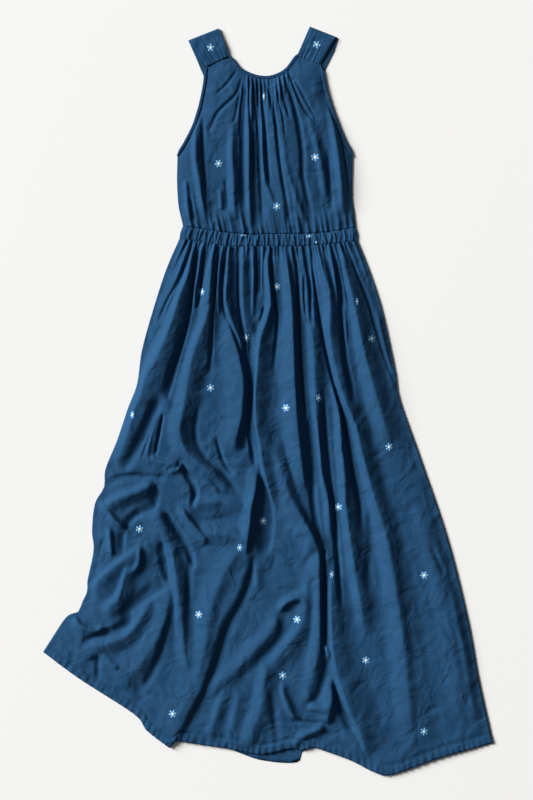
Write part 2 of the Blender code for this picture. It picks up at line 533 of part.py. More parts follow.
def build():
    for item in list(bpy.data.objects):
        bpy.data.objects.remove(item)
    backs()
    skirt_front()
    waistband_front()
    bodice_front()
    binding("neck_binding", NECK_EDGE, NECK_BINDING_WIDTH, 1, NECK_BINDING_POINTS)
    binding("armhole_binding_left", ARMHOLE_LEFT, ARMHOLE_BINDING_WIDTH, -1, ARMHOLE_BINDING_POINTS)
    binding("armhole_binding_right", ARMHOLE_RIGHT, ARMHOLE_BINDING_WIDTH, 1, ARMHOLE_BINDING_POINTS)
    strap("strap_left", STRAP_SEAM_LEFT, LEFT_STRAP, STRAP_POINTS)
    strap("strap_right", STRAP_SEAM_RIGHT, RIGHT_STRAP, STRAP_POINTS)


build()
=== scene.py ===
"""A sleeveless halter dress of navy cotton, laid flat and seen from above in soft light from the left."""
import math
from collections import namedtuple

import bpy
import numpy as np
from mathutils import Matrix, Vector
from mathutils.bvhtree import BVHTree


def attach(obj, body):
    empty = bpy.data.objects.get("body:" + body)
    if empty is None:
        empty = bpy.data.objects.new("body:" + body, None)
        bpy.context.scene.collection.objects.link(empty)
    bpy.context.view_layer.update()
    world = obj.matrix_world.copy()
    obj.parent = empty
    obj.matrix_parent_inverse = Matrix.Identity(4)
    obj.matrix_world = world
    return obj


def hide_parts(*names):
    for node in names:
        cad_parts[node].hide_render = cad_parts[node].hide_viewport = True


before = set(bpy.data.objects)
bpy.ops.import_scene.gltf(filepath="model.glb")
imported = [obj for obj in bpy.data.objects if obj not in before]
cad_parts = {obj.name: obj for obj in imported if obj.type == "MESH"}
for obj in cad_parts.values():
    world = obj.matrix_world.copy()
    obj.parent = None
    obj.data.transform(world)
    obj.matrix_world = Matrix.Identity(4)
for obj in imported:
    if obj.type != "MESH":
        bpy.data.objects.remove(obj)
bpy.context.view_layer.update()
bpy.ops.object.select_all(action="DESELECT")


# The studio: a sweep of matte white paper, one large soft lamp low at the upper left, a weak even fill and a
# camera straight above the dress.
MM = 0.001
FLOOR_SIDE = 12
FLOOR_GAP = 0.4 * MM
LAMP_AWAY = 60
LAMP_WIDTH = 32
LAMP_POWER = 78000
LAMP_AZIMUTH = 154
LAMP_ELEVATION = 27
FILL = 0.12
CAMERA_PLACE = (-0.003, 0.001, 3.78)
CAMERA_LENS = 85


def linear(code, alpha=1.0):
    """The linear colour of an sRGB hex code."""
    parts = [int(code[at:at + 2], 16) / 255 for at in (0, 2, 4)]
    bent = [part / 12.92 if part <= 0.04045 else ((part + 0.055) / 1.055) ** 2.4 for part in parts]
    return (*bent, alpha)


def node(tree, kind, settings=None, **inputs):
    """A node with its settings. Each input is given a value, or another node's output to link from."""
    made = tree.nodes.new(kind)
    for name, value in (settings or {}).items():
        setattr(made, name, value)
    for name, value in inputs.items():
        socket = made.inputs[name.replace("_", " ")]
        if isinstance(value, bpy.types.NodeSocket):
            tree.links.new(value, socket)
        else:
            socket.default_value = value
    return made


def new_material(name, roughness):
    """A material with its node tree and its surface shader."""
    material = bpy.data.materials.new(name)
    material.use_nodes = True
    surface = material.node_tree.nodes["Principled BSDF"]
    surface.inputs["Roughness"].default_value = roughness
    return material, material.node_tree, surface


def placed(name, data):
    """An object of the scene that holds a mesh, a lamp or a camera."""
    made = bpy.data.objects.new(name, data)
    bpy.context.collection.objects.link(made)
    return made


bpy.ops.mesh.primitive_plane_add(size=FLOOR_SIDE, location=(0, 0, -FLOOR_GAP))
floor = bpy.context.object
floor.name = "floor"
paper, tree, surface = new_material("matte white paper sweep", 0.9)
surface.inputs["Base Color"].default_value = linear("efeeec")
surface.inputs["Specular IOR Level"].default_value = 0.1
floor.data.materials.append(paper)

lamp_data = bpy.data.lights.new("key lamp", "AREA")
lamp_data.shape = "DISK"
lamp_data.size = LAMP_WIDTH
lamp_data.energy = LAMP_POWER
lamp = placed("key lamp", lamp_data)
turn = math.radians(LAMP_AZIMUTH)
lift = math.radians(LAMP_ELEVATION)
level = math.cos(lift)
lamp.location = LAMP_AWAY * Vector((level * math.cos(turn), level * math.sin(turn), math.sin(lift)))
lamp.rotation_euler = (-lamp.location).to_track_quat("-Z", "Y").to_euler()

world = bpy.data.worlds.new("studio")
bpy.context.scene.world = world
world.use_nodes = True
world.node_tree.nodes["Background"].inputs["Color"].default_value = linear("ffffff")
world.node_tree.nodes["Background"].inputs["Strength"].default_value = FILL

camera_data = bpy.data.cameras.new("camera")
camera_data.lens = CAMERA_LENS
camera = placed("camera", camera_data)
camera.location = CAMERA_PLACE
bpy.context.scene.camera = camera
bpy.context.scene.view_settings.view_transform = "Standard"


# Skirt front: the front skirt panel of plain-woven cotton poplin, wider than the waist and gathered into the
# waistband seam. It lies as it fell: long folds fan out from the gathers, and the lower left is rumpled.
CM = 0.01
CLOTH = 0.7 * MM
BACK_STACK = 1.8 * MM
SKIRT_COLUMNS = 256
SKIRT_ROWS = 272
ROW_SPACING = 1.15
EDGE_STEPS = 16

# A fold is at least NARROWEST centimetres wide to each side and rises over the share FADE of its length.
# Ridges that cross blend by the power FOLD_BLEND, and furrows level out below the height LOWEST. Next to the
# side edges, a panel's height eases off over 1 / EDGE_EASE of its width.
NARROWEST = 0.45
FADE = 0.15
FOLD_BLEND = 3
RIDGE_SCALE = 1.2
LOWEST = 1.5 * MM
EDGE_EASE = 40

# The hem is turned up and topstitched. The stitching draws a groove with small puckers below it.
HEM_DEPTH = 20 * MM
HEM_PUCKERS = 75
HEM_PUCKER = 1.1 * MM
HEM_GROOVE = 3 * MM
HEM_GROOVE_WIDTH = 2.4 * MM
SKIRT_CUT = (1.16, 1.06)

# The cotton's colour, how much paler it is in places, and the sizes of its dye patches, crumples and weave.
COTTON_COLOUR = "1f4465"
PALER_DYE = 1.16
DYE_PATCH = 60 * MM
SOFT_CRUMPLE = 46 * MM
SHARP_CRUMPLE = 24 * MM
WEAVE = 1.2 * MM

# A puff is the low swell under a panel's folds. It reaches its full rise some way in from the side edges, and
# its last part holds places down the panel, from 0 to 1, and the shares of that rise there.
Puff = namedtuple("Puff", "rise reach down")
SKIRT_PUFF = Puff(7 * MM, 6 * CM, ((0, 0.08, 0.9, 1), (0.3, 1, 1, 0.5)))
SKIRT_FOLDS_DOWN = ((0, 0.03, 0.985, 1), (0.3, 1, 1, 0.7))

SKIRT_WAIST = [
    (-17.7, 32.37), (-12.6, 31.67), (-7.6, 30.77), (-1, 30.87), (4.4, 30.77), (10.4, 31.07), (14.4, 31.47),
    (17.9, 31.87),
]
SKIRT_LEFT = [
    (-17.7, 32.37), (-20.4, 26.1), (-23, 18.1), (-25.2, 10.1), (-26.2, 3.3), (-28, -1.5), (-30.2, -8),
    (-32.5, -13.7), (-32.8, -17.3), (-34.6, -20.6), (-35.2, -25.9), (-34.9, -30), (-36.1, -36), (-36.1, -38),
    (-37.1, -40.2), (-38, -42.3), (-39.4, -42.7), (-40.9, -44), (-45, -50.3),
]
SKIRT_RIGHT = [
    (17.9, 31.87), (20.2, 26.1), (22.8, 18.1), (25.4, 6.1), (26.4, 0.1), (30.6, -11.9), (36, -27.9),
    (40, -43.9), (42.2, -55.9), (45, -68.5),
]
HEM_LEFT = [(-45, -50.3), (-37.6, -55.7), (-26.8, -62.7), (-24.2, -66), (-19.7, -69.5)]
HEM_STEP = [(-19.7, -69.5), (-18.3, -68.1)]
FRONT_HEM = [(-18.3, -68.1), (-8.8, -69.5), (-1.2, -70.7), (4.6, -69.6), (7, -69.9), (9.2, -69.3)]
HEM_RIGHT = [(9.2, -69.3), (16.4, -71.9), (21.2, -74.3), (24.8, -74.8), (34.4, -71.5), (45, -68.5)]

# The skirt's ridges. A row gives the path of the crest in centimetres, its rises along the path in
# millimetres, its half-widths to the left and the right of the path in centimetres, how pinched the crest is,
# and the share of its rise that it has at its start. A half-width that stays the same is one number.
Fold = namedtuple("Fold", "path rise left right pinch start", defaults=(0.3, 0.3))
SKIRT_RIDGES = [
    Fold([(-15.2, 32), (-16.8, 27), (-18.8, 22), (-21.2, 17)], (3, 5, 5, 2), (1.6, 2.6), (0.6, 0.7)),
    Fold([(-14.7, 32), (-15.9, 25.5), (-17.6, 21), (-19.1, 16), (-20.8, 11.5), (-22.5, 8), (-24.4, 4.7),
          (-26.2, 2), (-27.4, -1), (-28.8, -5), (-30.2, -9.5), (-31.8, -13)],
         (6, 9, 11, 12, 13, 12, 10, 9, 8), (0.7, 1.2, 1.8, 2.4, 2.4, 1.6, 1.2),
         (0.9, 1.6, 2.8, 3.8, 4.6, 6.2, 6.6, 6, 5, 3.4)),
    Fold([(-13.1, 32), (-13.9, 25.5), (-14.5, 22), (-14.8, 18)], (5, 6, 4), (0.5, 0.6), 0.5),
    Fold([(-10.6, 32), (-11.4, 25), (-11.8, 20), (-12.4, 16), (-13.7, 12.7), (-15, 9), (-15.8, 5),
          (-16.4, 1), (-17.2, -3), (-17.6, -6), (-16.8, -9.2), (-15, -11.6), (-13, -13.2), (-10.6, -14.8),
          (-9, -16.6), (-8.5, -19)], (6, 9, 11, 11, 11, 11, 11, 11, 11, 7),
         (0.8, 1.5, 2.2, 1.8, 1.8, 2.4, 2.8, 3, 2.4, 2), (0.6, 0.7, 2.2, 4, 4.6, 4.4, 2.8, 2.2, 2, 1.6)),
    Fold([(-16.8, -10.6), (-15.2, -13.2), (-13, -15.2), (-11, -17), (-9.6, -18.8)], (4, 7, 7, 4), 1, 0.8),
    Fold([(-22.8, -4), (-23.8, -8), (-25, -12)], (2, 3, 2), 1, 0.9),
    Fold([(-22.6, -3), (-24, -10), (-23.5, -13)], (2, 3, 2), 0.8, 0.8),
    Fold([(-9.3, 31), (-9.9, 24), (-10, 20), (-9.8, 16)], (4, 6, 5, 2), (0.6, 0.7), (0.6, 0.7)),
    Fold([(-7.6, 32), (-8.1, 26), (-8.5, 20.5), (-7.9, 17.5), (-6.8, 14.5), (-5.7, 12), (-5, 9.5)],
         (5, 8, 10, 10, 8, 5), (0.5, 0.6), (1, 1.8, 2.2, 1.6, 1)),
    Fold([(-8.4, 16.5), (-6.8, 12), (-5.6, 8), (-4.9, 4), (-5, 0), (-5.5, -4), (-6.6, -8), (-7.8, -11)],
         (5, 8, 10, 11, 11, 10, 6), (1.6, 4, 4.8, 5, 4.4, 3), (0.8, 0.8, 0.8, 1, 1.4, 2.4)),
    Fold([(-10, 11.4), (-8.4, 10.6), (-7.2, 11.2), (-6.2, 11), (-4.8, 10.1)], (1, 3, 3, 2), 0.8, 0.5),
    Fold([(-4.7, 32), (-5.1, 26), (-5.1, 21), (-4.8, 17), (-4.2, 13)], (5, 8, 8, 6, 4), (0.5, 0.6),
         (1.8, 2.6)),
    Fold([(-2.9, 32), (-2.9, 24), (-3.1, 16)], (4, 6, 2), (0.6, 0.7), (0.5, 0.6)),
    Fold([(-0.1, 32), (0, 26), (0.4, 22), (0.5, 19), (-0.2, 16.4), (-1, 14.2), (-1.7, 11.5), (-2.1, 8),
          (-2.4, 4), (-2.6, 0), (-2.5, -4), (-1.8, -8), (-1.1, -13), (0.2, -18), (1.5, -21.4), (2.4, -23)],
         (5, 8, 9, 10, 11, 12, 12, 12, 11, 7), (1, 1.1, 1.4, 0.6, 0.5, 0.5, 0.5, 0.6),
         (0.5, 0.6, 1.2, 3, 3.8, 4.2, 4.2, 3.8, 3)),
    Fold([(0.6, -8), (2, -12), (3, -15), (4, -18), (5, -20.5), (6.5, -23), (8, -25.5), (9.2, -27.5),
          (10.5, -31)], (5, 8, 10, 13, 15), (2.6, 5), (3, 2.6, 1.5, 0.8), 0.2),
    Fold([(3.1, 32), (4, 26), (4.6, 21), (4.9, 17), (5, 12), (5.2, 7), (5.4, 2), (5.7, -3), (6.2, -8),
          (6.8, -13), (7.5, -19)], (5, 9, 11, 12, 12, 12, 11, 10), (1, 2, 2.8, 3.6, 4.2, 3.8, 2.8),
         (1, 1.1, 1.3, 1.3, 1)),
    Fold([(6.7, 25), (6.8, 21), (7, 18.6), (7.6, 15)], (4, 5, 3), (0.6, 0.7), (0.6, 0.7)),
    Fold([(7.6, 24), (8.2, 19), (8.8, 14), (9.2, 8), (9.4, 3), (9.5, -1), (9.8, -5), (10.3, -10),
          (10.8, -15), (11.9, -20), (12.2, -25), (12.4, -29)], (5, 8, 9, 9, 9, 8, 8, 8, 6),
         (0.9, 1.6, 1.9, 1.6, 0.8, 0.7, 1.2, 1.2), (1.6, 2.2, 2.8, 2.6, 1.2, 0.9, 1.6, 1.6)),
    Fold([(9.6, 32), (11, 26), (12.3, 21), (12.3, 15), (12.7, 10), (13.8, 5), (15.4, 0), (17.4, -5),
          (18.6, -10), (19.9, -15), (21.4, -20), (23, -25), (24.3, -31), (25.5, -38), (26.7, -46),
          (27.8, -56), (28.6, -66), (29, -73)], (5, 9, 11, 12, 13, 14, 13, 13, 12, 11, 9, 8, 6),
         (0.8, 2.3, 1.1, 1.4, 1.8, 2.6, 3.4, 4, 4.6, 3.6), (0.8, 1.8, 4.4, 3.2, 3.2, 3.4, 4, 5, 5.5, 5.5)),
    Fold([(11.3, 23.4), (11.5, 21), (11.3, 18.6)], (3, 4, 3), 0.5, 0.5),
    Fold([(11.8, 32), (12.9, 27), (13.5, 23), (13.9, 19)], (4, 6, 5, 3), (0.6, 0.8), 0.5),
    Fold([(12.8, 3), (13.9, -1), (14.4, -5), (14.7, -10), (15.2, -15), (15.3, -20), (16, -25), (16.6, -30),
          (17.4, -35), (18.4, -40), (19.6, -47)], (5, 9, 11, 12, 13, 13, 12, 11, 8),
         (0.8, 1.5, 1.7, 1.5, 1.5, 1.7, 2), (0.6, 0.9, 1.8, 3.2, 3.6, 3.4, 3)),
    Fold([(15, 19), (15.3, 15), (15.6, 11)], (3, 5, 3), 0.6, 0.6),
    Fold([(13.9, 32), (15.7, 25), (17, 20), (18, 15), (19.1, 10), (20.4, 5), (21.8, 0), (23.4, -5),
          (25.2, -11)], (5, 9, 11, 12, 12, 12, 10, 5), (0.6, 1.2, 1.5, 1.7, 2.4, 2.8, 3, 3),
         (0.8, 2.2, 3, 3, 3.2, 3.6, 3.6, 3)),
    Fold([(22, 24), (23.6, 18), (25, 10)], (1, 3, 2), 1.2, 1),
    Fold([(12.4, -34), (12.5, -42), (12.9, -50), (13.9, -55), (15.9, -61), (18.2, -66), (20.2, -71)],
         (9, 11, 12, 12, 10), (0.7, 0.9, 0.9, 1), (2.6, 4.6, 6, 6, 5), 0.2),
    Fold([(22, 18), (23.2, 12), (24.6, 6), (25.4, 1)], (3, 4, 3), 1, 1),
    Fold([(-32.6, -21.4), (-30, -19.6), (-27, -18.4), (-24.5, -17.4), (-22.6, -16.4)], (7, 11, 11, 8),
         (2.6, 2.4), (1.6, 1.2), 0.2),
    Fold([(-23.5, -11.4), (-21, -12.4), (-18, -12.8)], (3, 6, 6), 1.2, 1, 0.2),
    Fold([(-19.6, -14.2), (-17.6, -13.4), (-17.2, -12)], (5, 8, 4), 1, 0.6, 0.2),
    Fold([(-33.6, -20), (-32, -22), (-30.4, -24), (-28.8, -25.4), (-28.4, -26.6)], (7, 10, 9), 1.4, 0.9,
         0.2),
    Fold([(-22.3, -22.4), (-21.4, -24.6), (-20.2, -27), (-19.4, -28.4)], (6, 8, 8, 6), 4.2, 2.4, 0.2),
    Fold([(-17.2, -21.6), (-15.6, -24), (-13.6, -26.3), (-11.8, -28.4)], (6, 9, 8), 1.8, 0.8, 0.2),
    Fold([(-16, -20.6), (-12, -20.3), (-8, -20.4), (-4, -21.8)], (5, 8, 7, 4), (2.6, 3.2), (1.6, 1.8)),
    Fold([(-14, -26.4), (-10, -26.6), (-6, -27.2), (-4.2, -29)], (5, 9, 10, 10), (3, 3.6), (2, 2.2)),
    Fold([(-31.6, -26), (-31.2, -31)], (7, 6), 1.2, 0.8, 0.2),
    Fold([(-25.7, -29.5), (-30, -32.5), (-33, -35), (-36.2, -38.2)], (8, 9, 8, 6), 0.9, (4.4, 4), 0.2),
    Fold([(-25.7, -29.3), (-25.8, -32), (-26.8, -33.8), (-28.3, -34)], (11, 10, 8), 0.9, (1.4, 1.6), 0.2),
    Fold([(-28, -33), (-28.8, -36), (-29.6, -38.8), (-30.8, -40.4), (-33, -42.4)], (9, 9, 8, 6), (1, 1.6),
         (2.8, 3), 0.2),
    Fold([(-20.4, -27.6), (-19.2, -30), (-18.5, -34), (-18, -38), (-17.5, -42), (-17, -46), (-16.4, -50),
          (-15.8, -56)], (7, 9, 9, 8, 6), (1.4, 2.6), (2, 3.4), 0.2),
    Fold([(-19.4, -38), (-20.4, -43), (-22, -47), (-24.4, -51), (-27.4, -54.6), (-30, -57)],
         (6, 9, 9, 8, 5), (4.6, 5), (2.6, 3.6)),
    Fold([(-38.8, -43), (-37.6, -44.7), (-36, -45.6), (-34, -46), (-33.2, -44.6)], (5, 8, 7, 4), 1.8, 0.8,
         0.2),
    Fold([(-37, -49.6), (-32, -48.4), (-28, -46.6), (-25.4, -43.4), (-23, -39.6)], (4, 8, 9, 9, 5),
         (3, 3.4), (1.3, 1.4)),
    Fold([(-38.4, -49.8), (-35, -51.4)], (4, 6), 1, 1),
    Fold([(-33, -51), (-30, -53.6)], (5, 7), 1, 1.2),
    Fold([(-5, -28.9), (-8.4, -33.9), (-11, -39.9), (-12.4, -47.9), (-14.4, -57.9)], (9, 10, 10, 9, 7),
         (4.4, 3.4), (4, 3)),
    Fold([(-4, -31), (-5.4, -35.9), (-7.1, -39.9), (-9.5, -43.9), (-11, -48.9), (-12.4, -53.9),
          (-14, -57.9), (-16, -61.9), (-18, -65.9), (-19.8, -69.6)], (6, 6, 7, 7, 7, 6), (6, 7), (2, 1.6),
         0.1, 1),
    Fold([(-2.2, -14.6), (-2.5, -18), (-3.3, -21.6), (-3.6, -25), (-4.1, -28.6), (-4.6, -32)],
         (6, 10, 12, 12, 8), (2.4, 3), 0.7, 0.2),
    Fold([(-3, -29), (-2.5, -33), (-2, -38)], (2, 4, 3), 1.2, 1.8),
    Fold([(2, -42.6), (1, -45.4), (-1.5, -48.4), (-4.4, -51.4), (-7.2, -54.2), (-10.2, -56.6),
          (-13, -58.2)], (7, 8, 8, 6, 3), (2.4, 2.8), (2.4, 2.8)),
    Fold([(2.2, -42), (4, -40.2), (6.3, -39.4), (7.3, -40.2), (7.4, -41.5), (6.8, -43.4)], (9, 10, 8, 5),
         0.9, (1.4, 2.4)),
    Fold([(10.3, -31.3), (9, -34), (7.8, -37), (7.4, -41), (6.3, -45), (4.5, -48), (2.5, -50.5),
          (-0.2, -53.5)], (9, 6, 5, 5, 5), (2.4, 1.8), (4.5, 3.5)),
    Fold([(10.2, -31.5), (10.3, -45), (9.9, -50), (9.2, -54), (8.1, -58), (6.3, -62.2)], (11, 11, 9, 6, 4),
         (2.4, 2.6), (0.9, 1, 2, 2.4), 0.1, 1),
    Fold([(12.9, -57.5), (12.7, -60.5), (12.2, -63), (11.6, -64.6)], (7, 10, 8), 3, (0.7, 0.9)),
    Fold([(-0.3, -53), (-1, -57.5), (-1.6, -61.5), (-3.2, -66.5), (-4.2, -70)], (8, 8, 7, 5), (2, 3),
         (3, 4)),
    Fold([(7.2, -43), (6, -46), (3.8, -49), (1.4, -51.6), (-0.3, -53.6)], (5, 6, 6, 4), 1.6, 3.4, 0.3, 1),
    Fold([(3, -56.5), (2.9, -58), (3.8, -60.6), (4.9, -62.9), (6.3, -63.4)], (5, 8, 8, 6), 0.8, 1.4),
    Fold([(8, -61), (11.4, -61.6), (12.6, -60)], (7, 10, 9), 1.4, 1.6),
    Fold([(4.9, -68.9), (7, -67), (9.5, -66), (11.3, -65.2)], (4, 7, 7), 1.2, 1.2),
    Fold([(10.9, -48.8), (11.9, -50), (12.2, -51.6)], (8, 10, 8), 0.8, 0.8),
    Fold([(-8.5, -57), (-10, -62), (-12, -68)], (3, 4, 3), (1.3, 1.4), (2, 2.2)),
    Fold([(-5.5, -58), (-7, -64), (-8, -69)], (2, 4, 3), (1.2, 1.3), (2.2, 2.4)),
    Fold([(30, -20), (33, -32), (37, -48), (39, -64)], (3, 4, 4, 3), (3, 3.4), (3, 3.4), 0),
    Fold([(36, -36), (39.4, -50), (41.6, -64)], (3, 5, 3), (2, 2.4), (2, 2.4), 0),
]

# The furrows between the ridges, told in the same way, with negative rises.
SKIRT_FURROWS = [
    Fold([(-15, 32), (-16.3, 28), (-18.1, 23.5), (-20, 20), (-22, 15.5)], (-4, -6, -5, -3), (0.5, 0.7),
         (0.5, 0.6)),
    Fold([(-13.9, 32), (-14.7, 26), (-15.2, 20.5), (-15.9, 16), (-17.2, 11), (-18.7, 6), (-20.2, 0)],
         (-6, -9, -11, -11, -10), (0.5, 0.8, 1, 1.6, 2.2), (0.4, 0.5, 0.6, 0.8)),
    Fold([(-12.3, 32), (-13.1, 26), (-13.5, 22), (-14.2, 18)], (-5, -7, -4), (0.4, 0.5), 0.4),
    Fold([(-22, 0), (-24, -5), (-26.4, -10), (-29, -14)], (-10, -9, -8, -6), 2, 1.6),
    Fold([(-22.5, -3), (-24, -8), (-25.3, -12)], (-5, -8, -4), 0.6, 0.5),
    Fold([(-21, -3), (-22, -8), (-22.5, -11)], (-5, -8, -5), 0.6, 0.5),
    Fold([(-9.5, 32), (-10.2, 25), (-10.8, 20), (-11.1, 15), (-11.3, 10), (-11.6, 5)], (-4, -6, -7, -6, -3),
         (0.4, 0.5, 1), (0.4, 0.4, 0.7)),
    Fold([(-8.3, 32), (-8.9, 26), (-9.2, 21), (-8.7, 17.5), (-7.7, 15)], (-4, -6, -6, -3), (0.4, 0.5), 0.4),
    Fold([(-10.3, -7.5), (-9.6, -10), (-9, -12), (-7, -15)], (-3, -6, -4), 0.7, 0.7),
    Fold([(-14, -2), (-14.5, -6), (-14, -9), (-12, -12), (-9.5, -14), (-7, -17), (-6, -19)],
         (-3, -6, -6, -6, -4), 1, 0.9),
    Fold([(-5, -6), (-4.6, -10)], (-3, -5), (1.2, 1.4), 1),
    Fold([(-5.8, 32), (-5.9, 26), (-5.9, 20), (-5.3, 15), (-4.7, 11), (-4, 7), (-3.6, 3), (-3.7, -1),
          (-4, -5), (-3.2, -9.5), (-2.3, -14.5)], (-4, -6, -7, -8, -10, -11, -10, -8), (0.4, 0.6, 0.8, 0.9),
         (0.4, 0.5, 1, 1, 0.8)),
    Fold([(-2.2, 32), (-2.3, 21)], (-6, -4), (0.4, 0.5), 0.4),
    Fold([(-1.5, 32), (-1.6, 21)], (-6, -4), (0.4, 0.5), 0.4),
    Fold([(-0.8, 18.4), (-1.5, 15.5)], (-5, -4), 0.5, 0.5),
    Fold([(-3.4, 13), (-3.6, 10), (-3.8, 7)], (-4, -7, -6), 1.2, 1),
    Fold([(-1.6, -15.2), (-0.4, -18.5), (0.3, -22), (0.3, -26), (-0.6, -31)], (-7, -12, -13, -12, -8),
         (1, 3, 3.8, 3.4, 2.4), (0.7, 1, 1.2), 0.1),
    Fold([(0.5, 32), (0.8, 25), (1.3, 20), (1.9, 17), (1.9, 14), (1.6, 10), (1.2, 5)], (-4, -6, -8, -6, -3),
         (0.4, 0.7, 1), (0.4, 0.5)),
    Fold([(5, 32), (5.7, 27), (6, 22), (6.2, 15), (6.6, 7), (7.2, 0), (7.9, -5)], (-5, -7, -8, -8, -7),
         (0.4, 0.6), (0.4, 0.5)),
    Fold([(8.1, -4), (8.7, -12), (9.1, -20), (10.3, -29)], (-7, -8, -9, -9), (1, 1.2), 1),
    Fold([(11.2, -30), (11.2, -40), (11.2, -51)], (-10, -11, -9), 0.7, 0.6, 0.1, 1),
    Fold([(7.2, 32), (8, 26), (8.4, 23), (8.5, 19), (8.8, 14)], (-5, -8, -7, -5), (0.6, 0.8), (0.5, 0.6)),
    Fold([(8.3, 32), (9, 26), (9.8, 20), (10.5, 15), (11.5, 10), (12.5, 6), (13.4, 2.4), (14.4, -1.3),
          (15.4, -5.5), (16.2, -10), (17, -15), (18.2, -20), (18.6, -27)],
         (-4, -6, -7, -7, -7, -8, -9, -10, -9, -6), (0.4, 0.5, 0.5, 0.6, 0.8, 1),
         (0.4, 0.4, 0.5, 0.5, 0.9, 1.4)),
    Fold([(11, 1), (11.5, -6), (12, -12), (12.7, -19), (13.3, -25), (13.8, -31), (14.1, -36), (14.7, -42)],
         (-6, -8, -9, -10, -10, -6), (0.9, 0.7, 0.7, 0.7), (0.7, 0.8, 1, 0.8)),
    Fold([(12.4, 32), (14, 25.5), (14.7, 21), (15, 14), (15.5, 8), (16.6, 3), (17.2, -1)],
         (-4, -7, -8, -8, -5), (0.6, 1.2), (0.5, 1)),
    Fold([(13.8, 32), (15.2, 24), (15.8, 21), (16.5, 18)], (-4, -6, -4), 0.5, 0.5),
    Fold([(20, -22), (20.6, -30), (19.6, -38)], (-2, -3, -2), (1.2, 1.4), (1.2, 1.4)),
    Fold([(15.8, 32), (18, 25), (20, 20), (21.5, 15), (22.9, 10.3), (24.6, 5.5), (26.2, 1.8)],
         (-4, -6, -7, -7, -4), (0.5, 0.7), 0.4),
    Fold([(-17.5, -12), (-16.4, -14.4), (-14.6, -18), (-15.2, -21.5)], (-8, -12, -12, -6), 0.9, 1),
    Fold([(-32.4, -16.4), (-30, -15.4), (-27, -15), (-23, -15.2), (-20, -15.4)], (-6, -8, -7, -4), 1.4, 0.8,
         0.2),
    Fold([(-22.3, -17.2), (-22, -19), (-22.8, -21.6), (-25.2, -22.6), (-27.4, -24.2), (-28.7, -26.4),
          (-29, -29), (-29, -31)], (-4, -7, -8, -8, -7, -5), (2.4, 1.4), 0.6, 0.2),
    Fold([(-20.4, -22.6), (-18.4, -25.4), (-16.6, -28.2), (-15.2, -31.4), (-15, -34)], (-7, -10, -9, -6),
         1.4, 0.8, 0.2),
    Fold([(-16, -23.6), (-13, -24), (-9, -23.8), (-6, -24.2)], (-2, -4, -4, -2), (1, 1.2), (1.2, 1.4)),
    Fold([(-33, -28), (-33.9, -31.5), (-34.7, -35)], (-5, -6, -5), 0.6, 0.4, 0.2),
    Fold([(-21.2, -27.8), (-20.6, -31), (-20, -34), (-19.7, -36.8)], (-7, -11, -11, -7), 1.8, 0.4, 0.2),
    Fold([(-19.8, -37), (-23, -38.9), (-26, -40.8), (-27.6, -42.4), (-27.4, -44), (-29, -45.8),
          (-33, -46.8), (-37.4, -48.4)], (-6, -9, -10, -10, -9, -8, -5), (3.6, 1), 0.7, 0.2),
    Fold([(-15.4, -30), (-15.8, -36), (-16, -42), (-16, -52)], (-3, -4, -3, -2), (1, 1.1), 1.2),
    Fold([(-19, -40), (-19.5, -44), (-21, -49), (-22, -52), (-24, -56), (-26, -58.5)], (-3, -4, -4, -3),
         (1.2, 1.4), (1, 1.2)),
    Fold([(-34, -51), (-34, -56)], (-4, -4), (0.8, 0.9), (0.8, 0.9)),
    Fold([(-27, -55), (-25, -60)], (-3, -4), 2, 2),
    Fold([(-2.6, -31), (-3.8, -35.9), (-5.6, -40.4), (-7.9, -44.9), (-9.6, -50), (-11.3, -54.8), (-13, -59),
          (-15.2, -63), (-18.4, -68.8)], (-3, -4, -4, -3, -2, -1), 0.8, (1.4, 2.4), 0.1),
    Fold([(2.4, -43), (2.6, -46), (1, -49), (-2, -52), (-6, -55)], (-3, -3, -2, -1), (1, 1.2), (1.6, 2)),
    Fold([(0.6, -58), (1.2, -63), (2, -69)], (-3, -4, -3), (1, 1.2), (1.2, 1.4)),
    Fold([(11.6, -51.4), (11.4, -55), (10.2, -58.6), (7.6, -61.8)], (-5, -5, -4, -3), (1.2, 1.4), 1.4),
    Fold([(5, -63.9), (10.8, -64.6)], (-6, -5), 0.6, 0.6),
    Fold([(13.2, -57), (14.2, -61), (17.2, -66.2)], (-9, -11, -8), (0.9, 1.4), (0.8, 1)),
    Fold([(10.6, -66.4), (15, -66.6)], (-4, -4), (1.4, 1.6), (1.4, 1.6)),
    Fold([(25.8, -30), (28, -45), (29.8, -60), (30.4, -68)], (-2, -2.5, -2, -1), (1.6, 1.8), (2, 2.2), 0),
    Fold([(32.8, -29.5), (35.2, -34.9)], (-3, -3), (0.8, 0.9), (0.8, 0.9)),
    Fold([(39, -46.9), (41.4, -47.9)], (-2.5, -2.5), 0.6, 0.6),
]


def trail(path, steps=5):
    """A smooth curve through spots in centimetres, as points in metres."""
    known = np.array(path, float) * CM
    ends = np.vstack([2 * known[0] - known[1], known, 2 * known[-1] - known[-2]])
    fine = []
    share = np.linspace(0, 1, steps, endpoint=False)[:, None]
    for start in range(len(known) - 1):
        before, first, second, after = ends[start:start + 4]
        fine.append(
            first + share * (second - before) / 2
            + share**2 * (before - 2.5 * first + 2 * second - 0.5 * after)
            + share**3 * (1.5 * (first - second) + 0.5 * (after - before))
        )
    return np.vstack(fine + [known[-1:]])


def distances(line):
    """How far along a line each of its points is."""
    return np.concatenate([[0], np.cumsum(np.linalg.norm(np.diff(line, axis=0), axis=1))])


def spots(line, at):
    """The plan points at given distances along a line."""
    run = distances(line)
    return np.column_stack([np.interp(at, run, line[:, axis]) for axis in (0, 1)])


